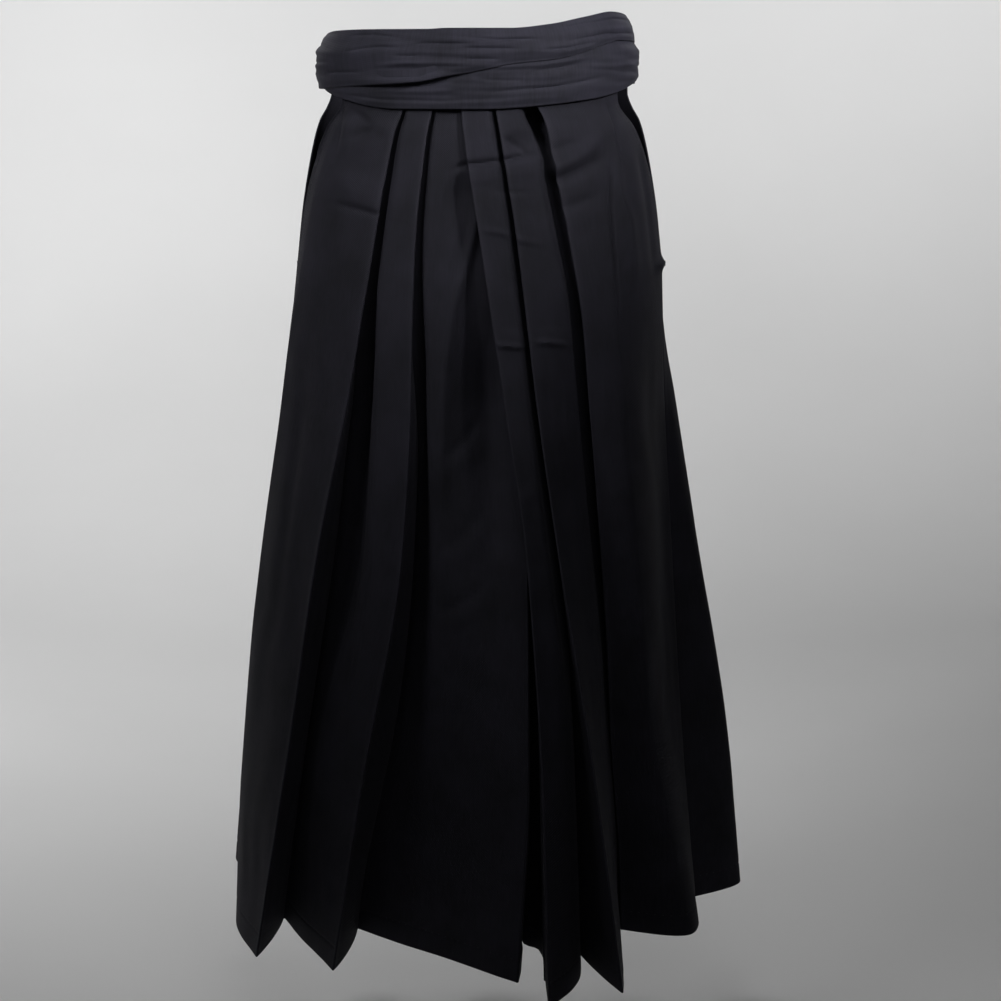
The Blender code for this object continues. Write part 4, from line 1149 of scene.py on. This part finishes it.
# Round soft boxes: place, point aimed at, width, watts, and the angle of the grid in front
LIGHTS = (
    ("key_left",        (-1.3, -1.3, 0.8),    (0.0, -0.1, 0.05),      0.6,   1.02,  45),
    ("key_hip",         (-1.1, -1.5, 0.7),    (-0.16, -0.08, -0.12),  0.35,  0.19,  20),
    ("key_right",       (1.3, -1.2, 0.7),     (0.13, -0.1, 0.08),     0.35,  0.72,  22),
    ("key_right_wide",  (0.8, -1.75, 0.8),    (-0.02, -0.1, 0.05),    0.6,   0.30,  40),
    ("front",           (0.3, -1.9, 0.3),     (0.12, -0.1, -0.55),    0.8,   0.32,  55),
    ("top",             (0.0, -0.6, 1.2),     (0.0, -0.12, 0.0),      0.5,   0.27,  50),
    ("floor_left",      (-1.3, 2.8, 1.8),     (-1.2, 3.4, -1.0),      1.4,   30.0,  150),
    ("floor_corner",    (-1.9, 0.9, 0.6),     (-1.2, 0.7, -1.08),     0.8,   1.6,   90),
    ("floor_near",      (-1.4, 1.6, 1.6),     (-0.3, 1.2, -1.08),     1.0,   6.8,   90),
    ("backdrop_left",   (-1.8, 2.6, 1.9),     (-1.4, 4.6, 0.9),       1.2,   11.4,  140),
    ("backdrop_right",  (1.6, 2.6, 1.9),      (1.2, 4.6, 0.9),        1.2,   34.5,  140),
    ("backdrop_low",    (-1.8, 2.4, 0.2),     (-1.4, 4.6, -0.4),      1.2,   0.8,   140),
    ("back_key_left",   (-1.2, 1.8, 0.8),     (0.0, 0.15, -0.15),     0.5,   0.4,   34),
    ("back_key_right",  (1.2, 1.8, 0.8),      (0.0, 0.15, -0.15),     0.5,   0.4,   34),
    ("wall_front",      (0.0, -3.2, 1.8),     (0.0, -5.2, 1.4),       1.4,   10.0,  120),
    ("wall_side_left",  (-3.2, -0.6, 1.8),    (-5.2, -0.6, 1.4),      1.4,   8.0,   120),
    ("wall_side_right", (3.2, -0.6, 1.8),     (5.2, -0.6, 1.4),       1.4,   8.0,   120),
)
AIR = ("#dfe2e8", 0.0015)  # what little light comes from all round
CAMERA = dict(lens=92.97, sensor=36.0, place=(0.0218, -2.711, -0.0065), tilt=9.66)


def matt_cover(name, dark, light, scale, detail, roughness):
    """A matt surface whose tone wanders a little, as that of paper and felt does."""
    cover = new_material(name)
    place = add(cover, "ShaderNodeTexCoord").outputs["Object"]
    mottle = add(cover, "ShaderNodeTexNoise", {"Scale": scale, "Detail": detail}, Vector=place)
    tone = add(cover, "ShaderNodeMix", {"data_type": "RGBA"})
    tone.inputs[6].default_value = linear(dark)
    tone.inputs[7].default_value = linear(light)
    cover.node_tree.links.new(mottle.outputs["Fac"], tone.inputs[0])
    shader = add(cover, "ShaderNodeBsdfPrincipled", {"Roughness": roughness},
                 Base_Color=tone.outputs[2])
    add(cover, "ShaderNodeOutputMaterial", {}, Surface=shader.outputs[0])
    return cover


def backdrop():
    """A sheet of pale, matt paper, which shows no edge: the floor, a wide bend and a wall."""
    profile = [(SWEEP["front"], FLOOR_Z), (SWEEP["bend"], FLOOR_Z)]
    for k in range(1, SWEEP["steps"] + 1):
        turn = math.pi / 2 * k / SWEEP["steps"]
        profile.append((SWEEP["bend"] + SWEEP["radius"] * math.sin(turn),
                        FLOOR_Z + SWEEP["radius"] * (1 - math.cos(turn))))
    profile.append((profile[-1][0], SWEEP["top"]))
    verts = [(x, y, z) for y, z in profile for x in (-SWEEP["half"], SWEEP["half"])]
    faces = [(2 * k, 2 * k + 1, 2 * k + 3, 2 * k + 2) for k in range(len(profile) - 1)]
    mesh = bpy.data.meshes.new("backdrop")
    mesh.from_pydata(verts, [], faces)
    mesh.shade_smooth()
    sheet = bpy.data.objects.new("backdrop", mesh)
    bpy.context.scene.collection.objects.link(sheet)
    mesh.materials.append(matt_cover("matt_paper", "#dcdcdc", "#e6e6e6", 1.3, 3.0, 0.9))


def felt_walls():
    """Grey wool felt, which takes most of the light: walls for the views from other sides."""
    far, top = STUDIO["far"], STUDIO["top"]
    corners = [(-far, far), (-far, -far), (far, -far), (far, far)]
    verts = [(x, y, z) for x, y in corners for z in (FLOOR_Z, top)]
    faces = [(2 * k, 2 * k + 2, 2 * k + 3, 2 * k + 1) for k in range(3)]
    mesh = bpy.data.meshes.new("felt_walls")
    mesh.from_pydata(verts, [], faces)
    mesh.materials.append(matt_cover("grey_wool_felt", "#5a5a5c", "#66666a", 60.0, 4.0, 0.95))
    walls = bpy.data.objects.new("felt_walls", mesh)
    bpy.context.scene.collection.objects.link(walls)


def area_light(name, place, aim, size, watts, spread):
    """A round soft box. A grid on its front keeps the light within the spread, in degrees."""
    light = bpy.data.lights.new(name, "AREA")
    light.shape, light.size, light.energy = "DISK", size, watts
    light.spread = math.radians(spread)
    lamp = bpy.data.objects.new(name, light)
    lamp.location = place
    lamp.rotation_euler = (Vector(aim) - Vector(place)).to_track_quat("-Z", "Y").to_euler()
    lamp.visible_camera = False
    bpy.context.scene.collection.objects.link(lamp)


backdrop()
felt_walls()
for light in LIGHTS:
    area_light(*light)

world = bpy.data.worlds.new("studio")
bpy.context.scene.world = world
world.use_nodes = True
world.node_tree.nodes["Background"].inputs["Color"].default_value = linear(AIR[0])
world.node_tree.nodes["Background"].inputs["Strength"].default_value = AIR[1]

camera = bpy.data.cameras.new("camera")
camera.lens, camera.sensor_width = CAMERA["lens"], CAMERA["sensor"]
viewer = bpy.data.objects.new("camera", camera)
viewer.location = CAMERA["place"]
viewer.rotation_euler = (math.radians(90 - CAMERA["tilt"]), 0, 0)
bpy.context.scene.collection.objects.link(viewer)
bpy.context.scene.camera = viewer
bpy.context.scene.view_settings.view_transform = "Standard"
